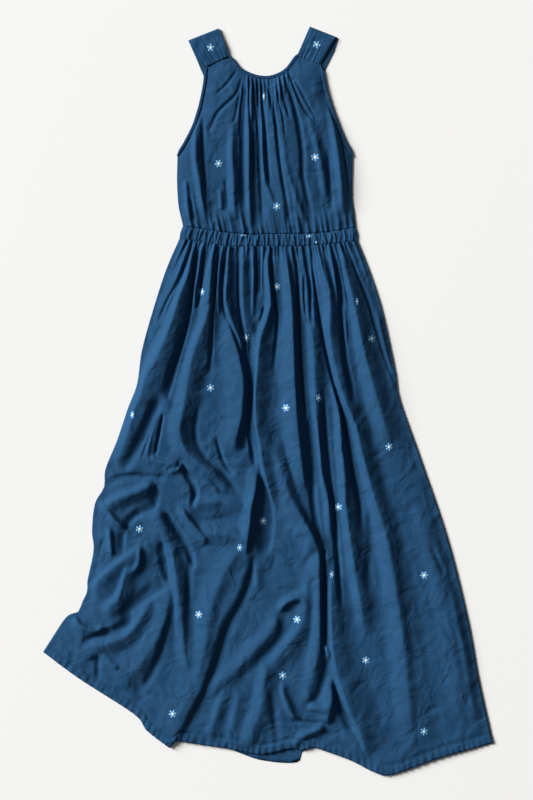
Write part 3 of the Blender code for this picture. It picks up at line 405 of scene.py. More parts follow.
def patch(top, left, right, foot, across, down):
    """Plan points of a panel between four edges. Each edge is one or more lines that meet at corners."""

    def along(edge, share):
        line = np.vstack([trail(part, EDGE_STEPS) for part in edge])
        return spots(line, share * distances(line)[-1])

    upper = along(top, across)[None, :, :]
    lower = along(foot, across)[None, :, :]
    port = along(left, down)[:, None, :]
    starboard = along(right, down)[:, None, :]
    u = across[None, :, None]
    v = down[:, None, None]
    corners = (
        (1 - u) * (1 - v) * upper[:, :1] + u * (1 - v) * upper[:, -1:]
        + (1 - u) * v * lower[:, :1] + u * v * lower[:, -1:]
    )
    return (1 - v) * upper + v * lower + (1 - u) * port + u * starboard - corners


def inset(share):
    """How far a place is from the nearer of two ends, as a share of the whole."""
    return np.minimum(share, 1 - share)


def ease_in(share):
    """A rise from 0 to 1 that levels out at its end."""
    return np.sin(np.clip(share, 0, 1) * np.pi / 2)


def crest(share):
    """The height of a round fold: 1 at its middle and 0 from its foot on."""
    return 0.5 * (1 + np.cos(np.pi * np.clip(share, 0, 1)))


def fold_rise(plan, fold):
    """The height that one fold gives each plan point."""
    path = trail(fold.path)
    reach = max(np.max(fold.left), np.max(fold.right), NARROWEST) * 1.1 * CM
    near = np.all((plan > path.min(axis=0) - reach) & (plan < path.max(axis=0) + reach), axis=2)
    points = plan[near]
    nearest = np.full(len(points), np.inf)
    along = np.zeros(len(points))
    side = np.zeros(len(points))
    run_length = distances(path)
    for step in range(len(path) - 1):
        run = path[step + 1] - path[step]
        out = points - path[step]
        share = np.clip((out @ run) / (run @ run), 0, 1)
        off = out - share[:, None] * run
        far = np.hypot(off[:, 0], off[:, 1])
        closer = far < nearest
        here = run_length[step] + share * (run_length[step + 1] - run_length[step])
        nearest = np.where(closer, far, nearest)
        along = np.where(closer, here, along)
        side = np.where(closer, np.copysign(far, run[0] * off[:, 1] - run[1] * off[:, 0]), side)
    along /= run_length[-1]
    left, right, rise = (
        np.interp(along, np.linspace(0, 1, np.size(values)), np.atleast_1d(values))
        for values in (fold.left, fold.right, fold.rise)
    )
    half = np.maximum(np.where(side < 0, left, right), NARROWEST) * CM
    share = np.clip(np.abs(side) / half, 0, 1)
    pinched_top = (1 - share) ** 2
    fade = ease_in(np.minimum(along / FADE + fold.start, (1 - along) / FADE))
    height = np.zeros(plan.shape[:2])
    height[near] = rise * fade * MM * (crest(share) + fold.pinch * (pinched_top - crest(share)))
    return height


def gathered(plan, across, from_seam, gathers):
    """Short ridges that start at a gathered seam and die away. Each has a place, width, rise and length."""
    width = np.linalg.norm(plan[:, -1] - plan[:, 0], axis=1)[:, None]
    lifted = np.zeros(plan.shape[:2])
    for place, wide, rise, length in gathers:
        off = np.abs(across[None, :] - place) * width / (wide * CM / 2)
        fade = np.clip(1 - from_seam[:, None] / (length * CM), 0, 1) ** 0.8
        lifted += rise * MM * fade * crest(off)
    return lifted


def rhythm(count, wide, rise, length):
    """Gathers side by side along a seam, uneven in place, width, rise and length."""
    found = []
    for number in range(count):
        beat = math.sin(2.4 * number) * math.cos(0.9 * number)
        sway = math.sin(5.1 * number + 1)
        place = (number + 0.5 + 0.25 * sway) / count
        found.append((place, wide * (1 + 0.3 * beat), rise * (1 + 0.4 * sway), length * (1 + 0.65 * beat)))
    return found


def draped(plan, across, down, puff, folds, ease):
    """The height of a front panel: a low puff, ridges that blend into each other, and furrows taken out."""
    width = np.linalg.norm(plan[:, -1] - plan[:, 0], axis=1)[:, None]
    swell = puff.rise * ease_in(inset(across)[None, :] * width / puff.reach)
    swell *= np.interp(down, *puff.down)[:, None]
    ridges, furrows, folds_down = folds
    lifted = np.zeros(plan.shape[:2])
    for fold in ridges:
        lifted += np.abs(fold_rise(plan, fold)) ** FOLD_BLEND
    sunk = np.zeros(plan.shape[:2])
    for fold in furrows:
        sunk = np.minimum(sunk, fold_rise(plan, fold))
    height = swell + RIDGE_SCALE * lifted ** (1 / FOLD_BLEND) + sunk
    height = np.where(height > LOWEST, height, LOWEST * np.exp(np.minimum(height / LOWEST - 1, 0)))
    return height * ease * np.interp(down, *folds_down)[:, None]


def rim(grid):
    """The point numbers round the border of a grid, once round."""
    return np.concatenate([grid[0, :-1], grid[:-1, -1], grid[-1, :0:-1], grid[:0:-1, 0]])


def closed_sheet(name, over, under, flat, material):
    """A closed thin sheet from two faces. The under face has as many rows as the upper, or every second."""
    rows, columns = over.shape[:2]
    stride = 1 if under.shape[0] == rows else 2
    share = np.dstack(np.meshgrid(np.linspace(0, flat[0], columns), np.linspace(flat[1], 0, rows)))
    points = np.vstack([over.reshape(-1, 3), under.reshape(-1, 3)])
    shares = np.vstack([share.reshape(-1, 2), share[::stride, ::stride].reshape(-1, 2)])
    top = np.arange(rows * columns).reshape(rows, columns)
    low = rows * columns + np.arange(under.shape[0] * under.shape[1]).reshape(under.shape[:2])
    faces = np.concatenate([
        np.dstack([top[:-1, :-1], top[1:, :-1], top[1:, 1:], top[:-1, 1:]]).reshape(-1, 4),
        np.dstack([low[:-1, :-1], low[:-1, 1:], low[1:, 1:], low[1:, :-1]]).reshape(-1, 4),
    ]).tolist()
    edge = rim(top)
    below = rim(low)
    for step, lower in enumerate(below):
        after = below[(step + 1) % len(below)]
        if stride == 1:
            faces.append((edge[step], edge[(step + 1) % len(edge)], after, lower))
        else:
            first, middle, last = (edge[(2 * step + more) % len(edge)] for more in (0, 1, 2))
            faces += [(first, middle, lower), (middle, after, lower), (middle, last, after)]
    mesh = bpy.data.meshes.new(name)
    mesh.from_pydata(points.tolist(), [], faces)
    corners = np.zeros(len(mesh.loops), np.int32)
    mesh.loops.foreach_get("vertex_index", corners)
    mesh.uv_layers.new(name="cut").data.foreach_set("uv", shares[corners].astype(np.float32).ravel())
    mesh.shade_smooth()
    mesh.materials.append(material)
    return placed(name, mesh)


def shell(name, plan, height, floor_height, flat, material):
    """A thin sheet whose upper face follows a height field, and whose coarser under face stays below it."""
    rows, columns = height.shape
    padded = np.pad(height, 2, mode="edge")
    around = [padded[down:down + rows, over:over + columns] for down in range(5) for over in range(5)]
    over = np.dstack([plan, floor_height + CLOTH + height])
    under = np.dstack([plan, floor_height + np.min(around, axis=0)])[::2, ::2]
    return closed_sheet(name, over, under, flat, material)


def dressed(piece, node_name):
    """Makes a sheet stand for its solid: hangs it under the root body and hides the solid."""
    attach(piece, "root")
    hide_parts(node_name)
    return piece


def cotton(name, colour, crumple=1.0):
    """Plain-woven cotton: a fine weave, small crumples at two sizes and a slightly uneven dye."""
    material, tree, surface = new_material(name, 0.9)
    place = node(tree, "ShaderNodeTexCoord").outputs["Object"]
    cut = node(tree, "ShaderNodeTexCoord").outputs["UV"]
    dye = node(tree, "ShaderNodeTexNoise", Vector=place, Scale=1 / DYE_PATCH, Detail=3.0, Roughness=0.6)
    tint = node(tree, "ShaderNodeMix", {"data_type": "RGBA"}, Factor=dye.outputs["Fac"])
    tint.inputs["A"].default_value = linear(colour, 1)
    tint.inputs["B"].default_value = [part * PALER_DYE for part in linear(colour)[:3]] + [1]
    surface.inputs["Specular IOR Level"].default_value = 0.1
    tree.links.new(tint.outputs["Result"], surface.inputs["Base Color"])
    soft = node(tree, "ShaderNodeTexNoise", Vector=place, Scale=1 / SOFT_CRUMPLE, Detail=2.0, Roughness=0.5,
                Distortion=0.6)
    bent = node(tree, "ShaderNodeVectorMath", {"operation": "MULTIPLY_ADD"})
    tree.links.new(soft.outputs["Color"], bent.inputs[0])
    bent.inputs[1].default_value = (0.02, 0.02, 0.02)
    tree.links.new(place, bent.inputs[2])
    sharp = node(tree, "ShaderNodeTexVoronoi", {"feature": "SMOOTH_F1"}, Vector=bent.outputs["Vector"],
                 Scale=1 / SHARP_CRUMPLE, Smoothness=0.25)
    warp = node(tree, "ShaderNodeTexWave", {"wave_type": "BANDS", "bands_direction": "X"}, Vector=cut,
                Scale=1 / WEAVE)
    first = node(tree, "ShaderNodeBump", Strength=crumple, Distance=7.5 * MM, Height=soft.outputs["Fac"])
    second = node(tree, "ShaderNodeBump", Strength=crumple, Distance=1.4 * MM,
                  Height=sharp.outputs["Distance"], Normal=first.outputs["Normal"])
    third = node(tree, "ShaderNodeBump", Strength=0.15, Distance=0.1 * MM, Height=warp.outputs["Fac"],
                 Normal=second.outputs["Normal"])
    tree.links.new(third.outputs["Normal"], surface.inputs["Normal"])
    return material


poplin = cotton("plain-woven cotton poplin, navy", COTTON_COLOUR)
SKIRT_GATHERS = rhythm(41, 0.6, 2.8, 3.4) + rhythm(23, 0.9, 3.4, 7.5)

across = np.linspace(0, 1, SKIRT_COLUMNS + 1)
down = np.linspace(0, 1, SKIRT_ROWS + 1) ** ROW_SPACING
skirt_plan = patch(
    [SKIRT_WAIST], [SKIRT_LEFT], [SKIRT_RIGHT], [HEM_LEFT, HEM_STEP, FRONT_HEM, HEM_RIGHT], across, down,
)
skirt_length = np.linalg.norm(skirt_plan[-1] - skirt_plan[0], axis=1).mean()
ease = np.clip(inset(across) * EDGE_EASE, 0, 1)[None, :]
height = draped(skirt_plan, across, down, SKIRT_PUFF, (SKIRT_RIDGES, SKIRT_FURROWS, SKIRT_FOLDS_DOWN), ease)
height += gathered(skirt_plan, across, down * skirt_length, SKIRT_GATHERS) * ease
from_hem = np.cumsum(np.linalg.norm(np.diff(skirt_plan[::-1], axis=0), axis=2), axis=0)[::-1]
from_hem = np.vstack([from_hem, np.zeros((1, SKIRT_COLUMNS + 1))])
stitched = np.exp(-(((from_hem - HEM_DEPTH) / HEM_GROOVE_WIDTH) ** 2))
puckers = np.sin(2 * np.pi * across * HEM_PUCKERS + 3 * np.sin(40 * across))[None, :]
height += HEM_PUCKER * np.clip(1.2 - from_hem / HEM_DEPTH, 0, 1) * puckers - HEM_GROOVE * stitched
height = np.maximum(height, 0)
skirt_front = shell("skirt_front_panel", skirt_plan, height, BACK_STACK, SKIRT_CUT, poplin)
dressed(skirt_front, "skirt_front")


# Bodice front: the front bodice of the same poplin, gathered into the neck binding at the top and into the
# waistband below. Folds run down it from the neck, and it bulges a little between its side edges.
BODICE_COLUMNS = 160
BODICE_ROWS = 150
BODICE_PUFF = Puff(5 * MM, 3 * CM, ((0, 0.1, 0.9, 1), (0.4, 1, 1, 0.4)))
BODICE_FOLDS_DOWN = ((0, 0.06, 0.95, 1), (0.25, 1, 1, 0.4))
BODICE_CUT = (0.46, 0.38)
BODICE_WAIST = [
    (-17.0, 34.93), (-12.6, 34.33), (-8.6, 33.73), (-3.6, 33.33), (4.4, 33.43), (10.4, 33.63),
    (14.4, 34.13), (17.5, 34.73),
]
SIDE_LEFT = [(-18.1, 48.8), (-18.2, 44), (-17.9, 39), (-17.0, 34.93)]
SIDE_RIGHT = [(16.9, 48.8), (16.8, 41), (17.2, 37.5), (17.5, 34.73)]
ARMHOLE_LEFT = [(-12.2, 66.6), (-12.6, 62.5), (-14.1, 56.3), (-16.3, 51.6), (-18.1, 48.8)]
ARMHOLE_RIGHT = [(10.4, 67.2), (11.9, 60.4), (14.7, 52.8), (16.9, 48.8)]
STRAP_SEAM_LEFT = [(-12.2, 66.6), (-9.8, 67.9), (-7.6, 68.4)]
STRAP_SEAM_RIGHT = [(6.0, 68.8), (8.4, 68.3), (10.4, 67.2)]
NECK_EDGE = [(-7.6, 68.4), (-5.9, 66.2), (-3.6, 64.9), (-1, 64.3), (1.4, 64.6), (3.9, 66), (6.0, 68.8)]

BODICE_RIDGES = [
    Fold([(1.6, 64), (2, 56), (3, 46), (4, 37)], (5, 9, 9, 6), (5, 6), (10, 11)),
    Fold([(-14.2, 56), (-14.5, 52), (-14.4, 48), (-13.8, 44), (-13.2, 40), (-12.2, 36.5)], (4, 8, 8, 5),
         (1.1, 1.3), (1.2, 1.8)),
    Fold([(-16.5, 44), (-16, 39), (-15.5, 36)], (3, 4, 3), 0.8, 0.7),
    Fold([(-7, 55), (-7.2, 50), (-7, 45), (-6.8, 40), (-6.5, 36)], (3, 7, 8, 5), (1.3, 1.4), (1.4, 1.6)),
    Fold([(-9.5, 42), (-9.3, 38)], (3, 4), 0.7, 0.7),
    Fold([(-3.6, 64), (-3.7, 58), (-3.8, 50), (-3.8, 42), (-3.3, 35)], (4, 8, 9, 8, 5), (0.9, 1.1),
         (0.8, 1.2)),
    Fold([(-2, 60), (-1.5, 56), (-1.2, 50), (-0.6, 44), (0.8, 40), (1.5, 38)], (3, 7, 8, 6), (0.8, 1.1),
         (1, 1.4)),
    Fold([(2, 60), (2.8, 55), (3.2, 50), (3.8, 46), (5, 42), (6.5, 38), (7.3, 35)], (3, 7, 8, 7, 5),
         (0.8, 1.2), (1.3, 1.6)),
    Fold([(8, 57), (10, 50), (10.8, 45), (11.5, 40)], (3, 6, 6, 4), 1.6, (1.6, 1.8)),
    Fold([(12.5, 58), (13.5, 52), (14.3, 46), (14.8, 40), (15, 37)], (4, 8, 8, 5), (1.3, 1.4), (1.4, 1.6)),
]
BODICE_FURROWS = [
    Fold([(-4.7, 65), (-4.9, 62), (-5.4, 58), (-5.6, 52)], (-6, -6, -3), (0.4, 0.5), (0.4, 0.5), 0.3, 1),
    Fold([(-3.7, 65), (-3.8, 61), (-3.6, 56), (-3.2, 50), (-3.2, 42)], (-6, -7, -6, -4), (0.4, 0.6),
         (0.4, 0.5), 0.3, 1),
    Fold([(-2.9, 65), (-3, 60), (-2.8, 55)], (-4, -3, -1), (0.4, 0.5), 0.4, 0.3, 1),
    Fold([(-2.1, 65), (-2, 60), (-1.6, 55), (-1.4, 50)], (-6, -7, -2), (0.4, 0.5), (0.4, 0.5), 0.3, 1),
    Fold([(-1.4, 65), (-1.1, 60), (-0.6, 54), (-0.3, 48), (0.2, 42)], (-5, -7, -6, -4), (0.4, 0.9),
         (0.4, 0.9), 0.3, 1),
    Fold([(0.5, 65), (0.9, 60), (1.7, 55), (2.3, 49), (3.2, 43), (4, 37)], (-5, -7, -6, -5, -4), (0.4, 0.6),
         (0.4, 0.6), 0.3, 1),
    Fold([(1.3, 65), (2, 60.5), (3, 56), (3.4, 52)], (-4, -4, -2), (0.4, 0.5), (0.4, 0.5), 0.3, 1),
    Fold([(2.2, 65.2), (3.1, 60.5), (4.4, 56)], (-5, -5, -3), (0.4, 0.5), (0.4, 0.5), 0.3, 1),
    Fold([(3.1, 65.6), (4.4, 61), (6, 56), (6.8, 50), (7, 44)], (-5, -6, -5, -4), (0.4, 0.9), (0.4, 1.2),
         0.3, 1),
    Fold([(4, 66), (5.6, 61.5), (7.4, 58), (9, 56)], (-4, -5, -3), (0.4, 0.7), (0.4, 0.9), 0.3, 1),
    Fold([(-6.3, 65.8), (-8, 63.5), (-10.5, 61)], (-2, -3, -2), 0.5, 0.5),
    Fold([(-5.3, 64), (-6.5, 61), (-10, 57.5), (-11.8, 53.5)], (-3, -4, -2), (0.6, 0.7), (0.6, 0.7)),
    Fold([(-5.6, 62), (-6.2, 58), (-7, 55)], (-3, -2), 0.6, 0.5),
    Fold([(-4.3, 63), (-4.8, 58), (-5, 52), (-5, 45), (-4.8, 38)], (-4, -7, -8, -7, -4), (0.8, 1),
         (0.6, 0.7)),
    Fold([(-2.6, 63), (-2.4, 58), (-1.8, 52), (-1.6, 46), (-1.3, 40), (-1, 35)], (-3, -6, -6, -5, -3),
         (0.6, 0.7), 0.6),
    Fold([(-0.2, 63), (1, 58), (1.8, 53), (2.5, 47), (3.5, 41), (4.5, 35)], (-4, -7, -7, -6, -3),
         (0.6, 0.8), (0.6, 0.7)),
    Fold([(0.8, 63), (1.5, 60), (2, 57)], (-3, -3), 0.5, 0.5),
    Fold([(3.8, 64), (5, 60), (6, 55), (6.8, 50), (7, 45), (8, 40), (9, 36)], (-3, -5, -5, -5, -3),
         (0.7, 1), (0.7, 0.8)),
    Fold([(4.6, 65), (6.5, 62), (8, 59), (9.8, 56)], (-3, -3, -2), 0.6, 0.6),
    Fold([(12, 50), (12.3, 44), (12.8, 38)], (-3, -4, -3), (0.9, 1), 0.7),
    Fold([(14.5, 53), (15.5, 47), (16.2, 41)], (-2, -3, -2), 0.5, 0.5),
    Fold([(-13, 56), (-13, 50), (-12.8, 45), (-12.6, 40), (-11.8, 37)], (-3, -5, -5, -3), 0.6, (0.7, 0.8)),
    Fold([(-8.5, 44), (-8, 38)], (-3, -3), 0.6, 0.6),
    Fold([(-15.5, 40), (-14.5, 36)], (-3, -3), 0.5, 0.5),
]
NECK_GATHERS = [
    (0.34, 0.6, 3.0, 5), (0.37, 0.5, 4.0, 7), (0.40, 0.5, 4.4, 9), (0.43, 0.5, 5.0, 12), (0.46, 0.5, 4.4, 8),
    (0.49, 0.5, 5.0, 11), (0.52, 0.5, 4.4, 9), (0.55, 0.5, 5.0, 13), (0.58, 0.5, 4.4, 8),
    (0.61, 0.6, 4.6, 10), (0.645, 0.6, 3.6, 8), (0.68, 0.6, 3.0, 6),
]
WAIST_GATHERS = rhythm(27, 0.7, 2.6, 3.6) + rhythm(16, 1.1, 3, 7)

across = np.linspace(0, 1, BODICE_COLUMNS + 1)
down = np.linspace(0, 1, BODICE_ROWS + 1)
bodice_plan = patch(
    [STRAP_SEAM_LEFT, NECK_EDGE, STRAP_SEAM_RIGHT], [ARMHOLE_LEFT, SIDE_LEFT], [ARMHOLE_RIGHT, SIDE_RIGHT],
    [BODICE_WAIST], across, down,
)
bodice_length = np.linalg.norm(bodice_plan[-1] - bodice_plan[0], axis=1).mean()
ease = np.clip(inset(across) * EDGE_EASE, 0, 1)[None, :]
height = draped(
    bodice_plan, across, down, BODICE_PUFF, (BODICE_RIDGES, BODICE_FURROWS, BODICE_FOLDS_DOWN), ease,
)
below_neck = ease * np.interp(down, (0, 0.04), (0.3, 1))[:, None]
height += gathered(bodice_plan, across, down * bodice_length, NECK_GATHERS) * below_neck
height += gathered(bodice_plan, across, (1 - down) * bodice_length, WAIST_GATHERS) * ease
bodice_front = shell("bodice_front_panel", bodice_plan, height, BACK_STACK, BODICE_CUT, poplin)
dressed(bodice_front, "bodice_front")


# Waistband front: a tube of the same poplin over elastic, topstitched along both edges, so it ruches unevenly
# along its length.
BAND_COLUMNS = 280
BAND_ROWS = 22
BAND_SWELL = 1.8 * MM
BAND_CUT = (0.5, 0.034)

# The widths and slants of the ruches are shares of the band's length, and its gap to its neighbours is in
# centimetres.
RUCHES = 58
RUCHE_HEIGHT = 2.1 * MM
RUCHE_WIDTH = 0.0082
RUCHE_SLANT = 0.012
BAND_GAP = 0.03
BAND_HIGH = [(x, y - BAND_GAP) for x, y in BODICE_WAIST]
BAND_LOW = [(x, y + BAND_GAP) for x, y in SKIRT_WAIST]
BAND_LEFT = [BAND_HIGH[0], (-17.5, 33.7), BAND_LOW[0]]
BAND_RIGHT = [BAND_HIGH[-1], (17.9, 33.3), BAND_LOW[-1]]

across = np.linspace(0, 1, BAND_COLUMNS + 1)
down = np.linspace(0, 1, BAND_ROWS + 1)
band_plan = patch([BAND_HIGH], [BAND_LEFT], [BAND_RIGHT], [BAND_LOW], across, down)
ease = ease_in(inset(across) * 30)[None, :]
height = BAND_SWELL * (0.35 + 0.65 * ease_in(inset(down) * 5)[:, None]) * ease
ruches = np.zeros(height.shape)
for number in range(RUCHES):
    sway = math.sin(3.7 * number) * 0.3
    slant = RUCHE_SLANT * math.sin(1.9 * number)
    centre = (number + 0.5 + sway) / RUCHES + slant * (down[:, None] - 0.5)
    wide = RUCHE_WIDTH * (1 + 0.4 * math.sin(2.3 * number + 1))
    tall = RUCHE_HEIGHT * (1 + 0.45 * math.sin(4.3 * number))
    fade = 0.45 + 0.55 * np.sin(np.pi * np.clip(down[:, None] + 0.12 * math.sin(1.3 * number), 0, 1))
    ruches += tall * fade * crest(np.abs(across[None, :] - centre) / wide)
height += ruches * ease
waistband_front = shell("waistband_front_casing", band_plan, height, BACK_STACK, BAND_CUT, poplin)
dressed(waistband_front, "waistband_front")


# Backs: the back skirt panel, the back half of the waistband and the back bodice, of the same poplin. They
# lie flat under the front, with shallow creases where the weight of the front has pressed them.
BACK_COLUMNS = 120
BACK_HEM = [(-18.3, -68.1), (-8.8, -69.5), (-1.6, -71.9), (5.6, -72.4), (6.8, -70.3), (9.2, -69.3)]
BACK_SKIRT_CREASES = [
    Fold([(-14, 30), (-17, 12), (-22, -10), (-28, -34)], (0.5, 0.8, 0.7, 0.5), (2, 4), (1.2, 2)),
    Fold([(-9, 30), (-10, 8), (-12, -20), (-18, -50)], (0.5, 0.8, 0.8, 0.5), (1, 3), (1.6, 4)),
    Fold([(-3, 30), (-3, 4), (-4, -28), (-9, -66)], (0.5, 0.8, 0.8, 0.6), (1.2, 3), (1, 2)),
    Fold([(3, 30), (4, 2), (6, -30), (7, -66)], (0.5, 0.8, 0.7, 0.6), (1.4, 4), (1, 2.4)),
    Fold([(8, 30), (11, 2), (15, -26), (20, -68)], (0.5, 0.8, 0.8, 0.5), (1, 2), (1.6, 4)),
    Fold([(13, 30), (18, 2), (25, -28), (32, -66)], (0.5, 0.7, 0.8, 0.5), (1.2, 3), (1.4, 3)),
    Fold([(-20, -40), (-29, -47), (-36, -50)], (0.4, 0.8, 0.4), 1.6, 1.2),
    Fold([(-6, -36), (2, -42), (12, -40)], (0.3, 0.6, 0.3), 1.2, 1.6),
]
BACK_BODICE_CREASES = [
    Fold([(-9, 57), (-10, 46), (-9, 36)], (0.4, 0.8, 0.5), (1, 1.4), (0.8, 1)),
    Fold([(-2, 57), (-3, 46), (-2, 36)], (0.4, 0.7, 0.5), (1, 1.2), (0.9, 1)),
    Fold([(5, 57), (4, 46), (5, 36)], (0.4, 0.8, 0.5), (0.8, 1.2), (1, 1.2)),
    Fold([(11, 56), (12, 46), (11, 36)], (0.4, 0.7, 0.5), (1, 1.2), (0.8, 1)),
]
BACK_TOP = [(-14.1, 58.4), (13.1, 58.4)]
BACK_ARMHOLE_LEFT = [(-14.1, 58.4), (-16.3, 51.6), (-18.1, 48.8)]
BACK_ARMHOLE_RIGHT = [(13.1, 58.4), (14.7, 52.8), (16.9, 48.8)]


def back_panel(name, edges, creases, rows, flat):
    """A flat panel with shallow creases pressed into it."""
    top, left, right, foot = edges
    across = np.linspace(0, 1, BACK_COLUMNS + 1)
    plan = patch(top, left, right, foot, across, np.linspace(0, 1, rows + 1))
    height = np.max([np.zeros(plan.shape[:2])] + [fold_rise(plan, crease) for crease in creases], axis=0)
    panel = shell(name + "_panel", plan, height, 0, flat, poplin)
    return dressed(panel, name)


back_panel(
    "skirt_back", ([SKIRT_WAIST], [SKIRT_LEFT], [SKIRT_RIGHT], [HEM_LEFT, HEM_STEP, BACK_HEM, HEM_RIGHT]),
    BACK_SKIRT_CREASES, 130, (0.98, 0.95),
)
back_panel(
    "waistband_back", ([BAND_HIGH], [BAND_LEFT], [BAND_RIGHT], [BAND_LOW]), [], 6, (0.36, 0.029),
)
back_panel(
    "bodice_back",
    ([BACK_TOP], [BACK_ARMHOLE_LEFT, SIDE_LEFT], [BACK_ARMHOLE_RIGHT, SIDE_RIGHT], [BODICE_WAIST]),
    BACK_BODICE_CREASES, 60, (0.37, 0.25),
)


# Neck binding and armhole bindings: bias strips of the same poplin folded over the raw edges and topstitched,
# with small puckers where the stitching draws them in.
BINDING_ROWS = 8
BINDING_COLUMNS = 160
BINDING_THICK = 2.4 * MM
NECK_BINDING_WIDTH = 6.5 * MM
ARMHOLE_BINDING_WIDTH = 5.5 * MM
BINDING_OVERLAP = 1.2 * MM
BINDING_TAPER = 0.09
BINDING_PUCKER = 0.5 * MM
BINDING_CUT = (0.26, 0.03)


def beside(path, away):
    """A line moved sideways, less so at its ends. A positive distance is to the left of the way it runs."""
    line = trail(path, EDGE_STEPS)
    along = np.linspace(0, 1, BINDING_COLUMNS + 1)
    line = spots(line, along * distances(line)[-1])
    way = np.gradient(line, axis=0)
    way /= np.linalg.norm(way, axis=1)[:, None]
    taper = 0.3 + 0.7 * ease_in(inset(along) / BINDING_TAPER)
    return line + away * taper[:, None] * np.column_stack([-way[:, 1], way[:, 0]])


def binding(name, path, width, side, puckers):
    """A padded strip over a cut edge. side is 1 where the free edge is to the left of the way it runs."""
    share = np.linspace(0, 1, BINDING_ROWS + 1)
    away = [side * (place * width - BINDING_OVERLAP * (1 - place)) for place in share]
    plan = np.array([beside(path, distance) for distance in away])
    if side > 0:
        plan = plan[::-1]
        share = share[::-1]
    round_over = np.sqrt(np.clip(1 - (2 * share - 1) ** 4, 0, 1))[:, None]
    along = np.linspace(0, 1, BINDING_COLUMNS + 1)
    ripple = 0.5 + 0.5 * np.sin(2 * np.pi * puckers * along + 2 * np.sin(17 * along))[None, :]
    height = (BINDING_THICK - CLOTH) * round_over + BINDING_PUCKER * ripple * round_over
    piece = shell(name + "_strip", plan, height, BACK_STACK, BINDING_CUT, bias)
    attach(piece, "root")
    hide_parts(name)
    return piece


bias = cotton("cotton poplin bias strip, navy", "1a3b5b", 0.5)
neck = binding("neck_binding", [(-8, 69)] + NECK_EDGE + [(6.5, 69.5)], NECK_BINDING_WIDTH, 1, 34)
armhole_left = binding("armhole_binding_left", ARMHOLE_LEFT, ARMHOLE_BINDING_WIDTH, -1, 9)
armhole_right = binding("armhole_binding_right", ARMHOLE_RIGHT, ARMHOLE_BINDING_WIDTH, 1, 9)


# Straps: wide strips of the same poplin, sewn to the bodice's two corners with soft pleats, folded over at
# the shoulder and running down under the front to the back bodice.
STRAP_COLUMNS = 40
STRAP_WALL = 0.8 * MM

# A row holds the strap's outer and inner edge in centimetres and its height in millimetres.
StrapRow = namedtuple("StrapRow", "outer inner lift")
LEFT_STRAP = [
    StrapRow((-12.3, 66.7), (-7.7, 68.9), 3.4), StrapRow((-14.1, 69.2), (-8.3, 70.6), 4.6),
    StrapRow((-15.8, 71.8), (-9.8, 74.3), 4.2), StrapRow((-15.9, 72.0), (-9.85, 74.4), 2.6),
    StrapRow((-15.9, 71.9), (-9.8, 74.3), 0.9), StrapRow((-14.6, 69.0), (-8.7, 71.4), 0.6),
    StrapRow((-13.0, 65.2), (-7.5, 68.0), 0.6), StrapRow((-10.7, 58.5), (-5.4, 58.5), 0.6),
]
RIGHT_STRAP = [
    StrapRow((10.4, 67.2), (5.8, 68.9), 3.6), StrapRow((11.9, 70.0), (7.0, 71.6), 5.0),
    StrapRow((13.4, 72.4), (8.3, 74.65), 4.2), StrapRow((13.8, 72.6), (8.35, 74.75), 2.6),
    StrapRow((14.0, 72.4), (8.3, 74.7), 0.9), StrapRow((13.2, 69.8), (7.5, 72.0), 0.6),
    StrapRow((11.5, 66.4), (6.4, 68.6), 0.6), StrapRow((8.9, 58.5), (3.8, 58.5), 0.6),
]
STRAP_ROWS_BETWEEN = (10, 12, 3, 3, 6, 8, 10)
STRAP_CUT = (0.066, 0.24)

# The pleats rise up to PLEAT_HEIGHT millimetres at the seam and die away over PLEAT_LENGTH rows. A pleat's
# place and half-width are shares of the strap's width, and its last number is its share of the rise.
PLEAT_HEIGHT = 1.6
PLEAT_LENGTH = 2.2
STRAP_PLEATS = [
    (0.1, 0.05, 0.9), (0.2, 0.08, 0.6), (0.33, 0.04, 1.0), (0.54, 0.1, 0.4), (0.72, 0.05, 0.8),
    (0.87, 0.06, 0.4),
]


def strap(name, table):
    """A strip through the rows of a table, from the seam over the shoulder fold to the back bodice."""
    share = np.linspace(0, 1, STRAP_COLUMNS + 1)
    rows, ramps = [], []
    for number, (here, after) in enumerate(zip(table[:-1], table[1:])):
        for part in np.linspace(0, 1, STRAP_ROWS_BETWEEN[number], endpoint=False):
            outer = np.array(here.outer) * (1 - part) + np.array(after.outer) * part
            inner = np.array(here.inner) * (1 - part) + np.array(after.inner) * part
            lift = here.lift * (1 - part) + after.lift * part
            rows.append((outer, inner, lift))
            ramps.append(max(0, 1 - (number + part) / PLEAT_LENGTH))
    rows.append((table[-1].outer, table[-1].inner, table[-1].lift))
    ramps.append(0)
    pleats = np.zeros(len(share))
    for place, wide, rise in STRAP_PLEATS:
        pleats += rise * crest(np.abs(share - place) / wide)
    middle = []
    for (outer, inner, lift), ramp in zip(rows, ramps):
        plan = (np.outer(1 - share, outer) + np.outer(share, inner)) * CM
        middle.append(np.column_stack([plan, (lift + PLEAT_HEIGHT * ramp**0.7 * pleats) * MM]))
    middle = np.array(middle)
    way = np.cross(np.gradient(middle, axis=1), np.gradient(middle, axis=0))
    way /= np.linalg.norm(way, axis=2)[:, :, None]
    if way[2, 2, 2] < 0:
        way = -way
    faces = (middle + way * STRAP_WALL / 2, middle - way * STRAP_WALL / 2)
    if table[0].outer[0] > table[0].inner[0]:
        faces = [face[:, ::-1] for face in faces]
    piece = closed_sheet(name + "_strip", faces[0][::-1], faces[1][::-1], STRAP_CUT, poplin)
    return dressed(piece, name)


strap_left = strap("strap_left", LEFT_STRAP)
strap_right = strap("strap_right", RIGHT_STRAP)


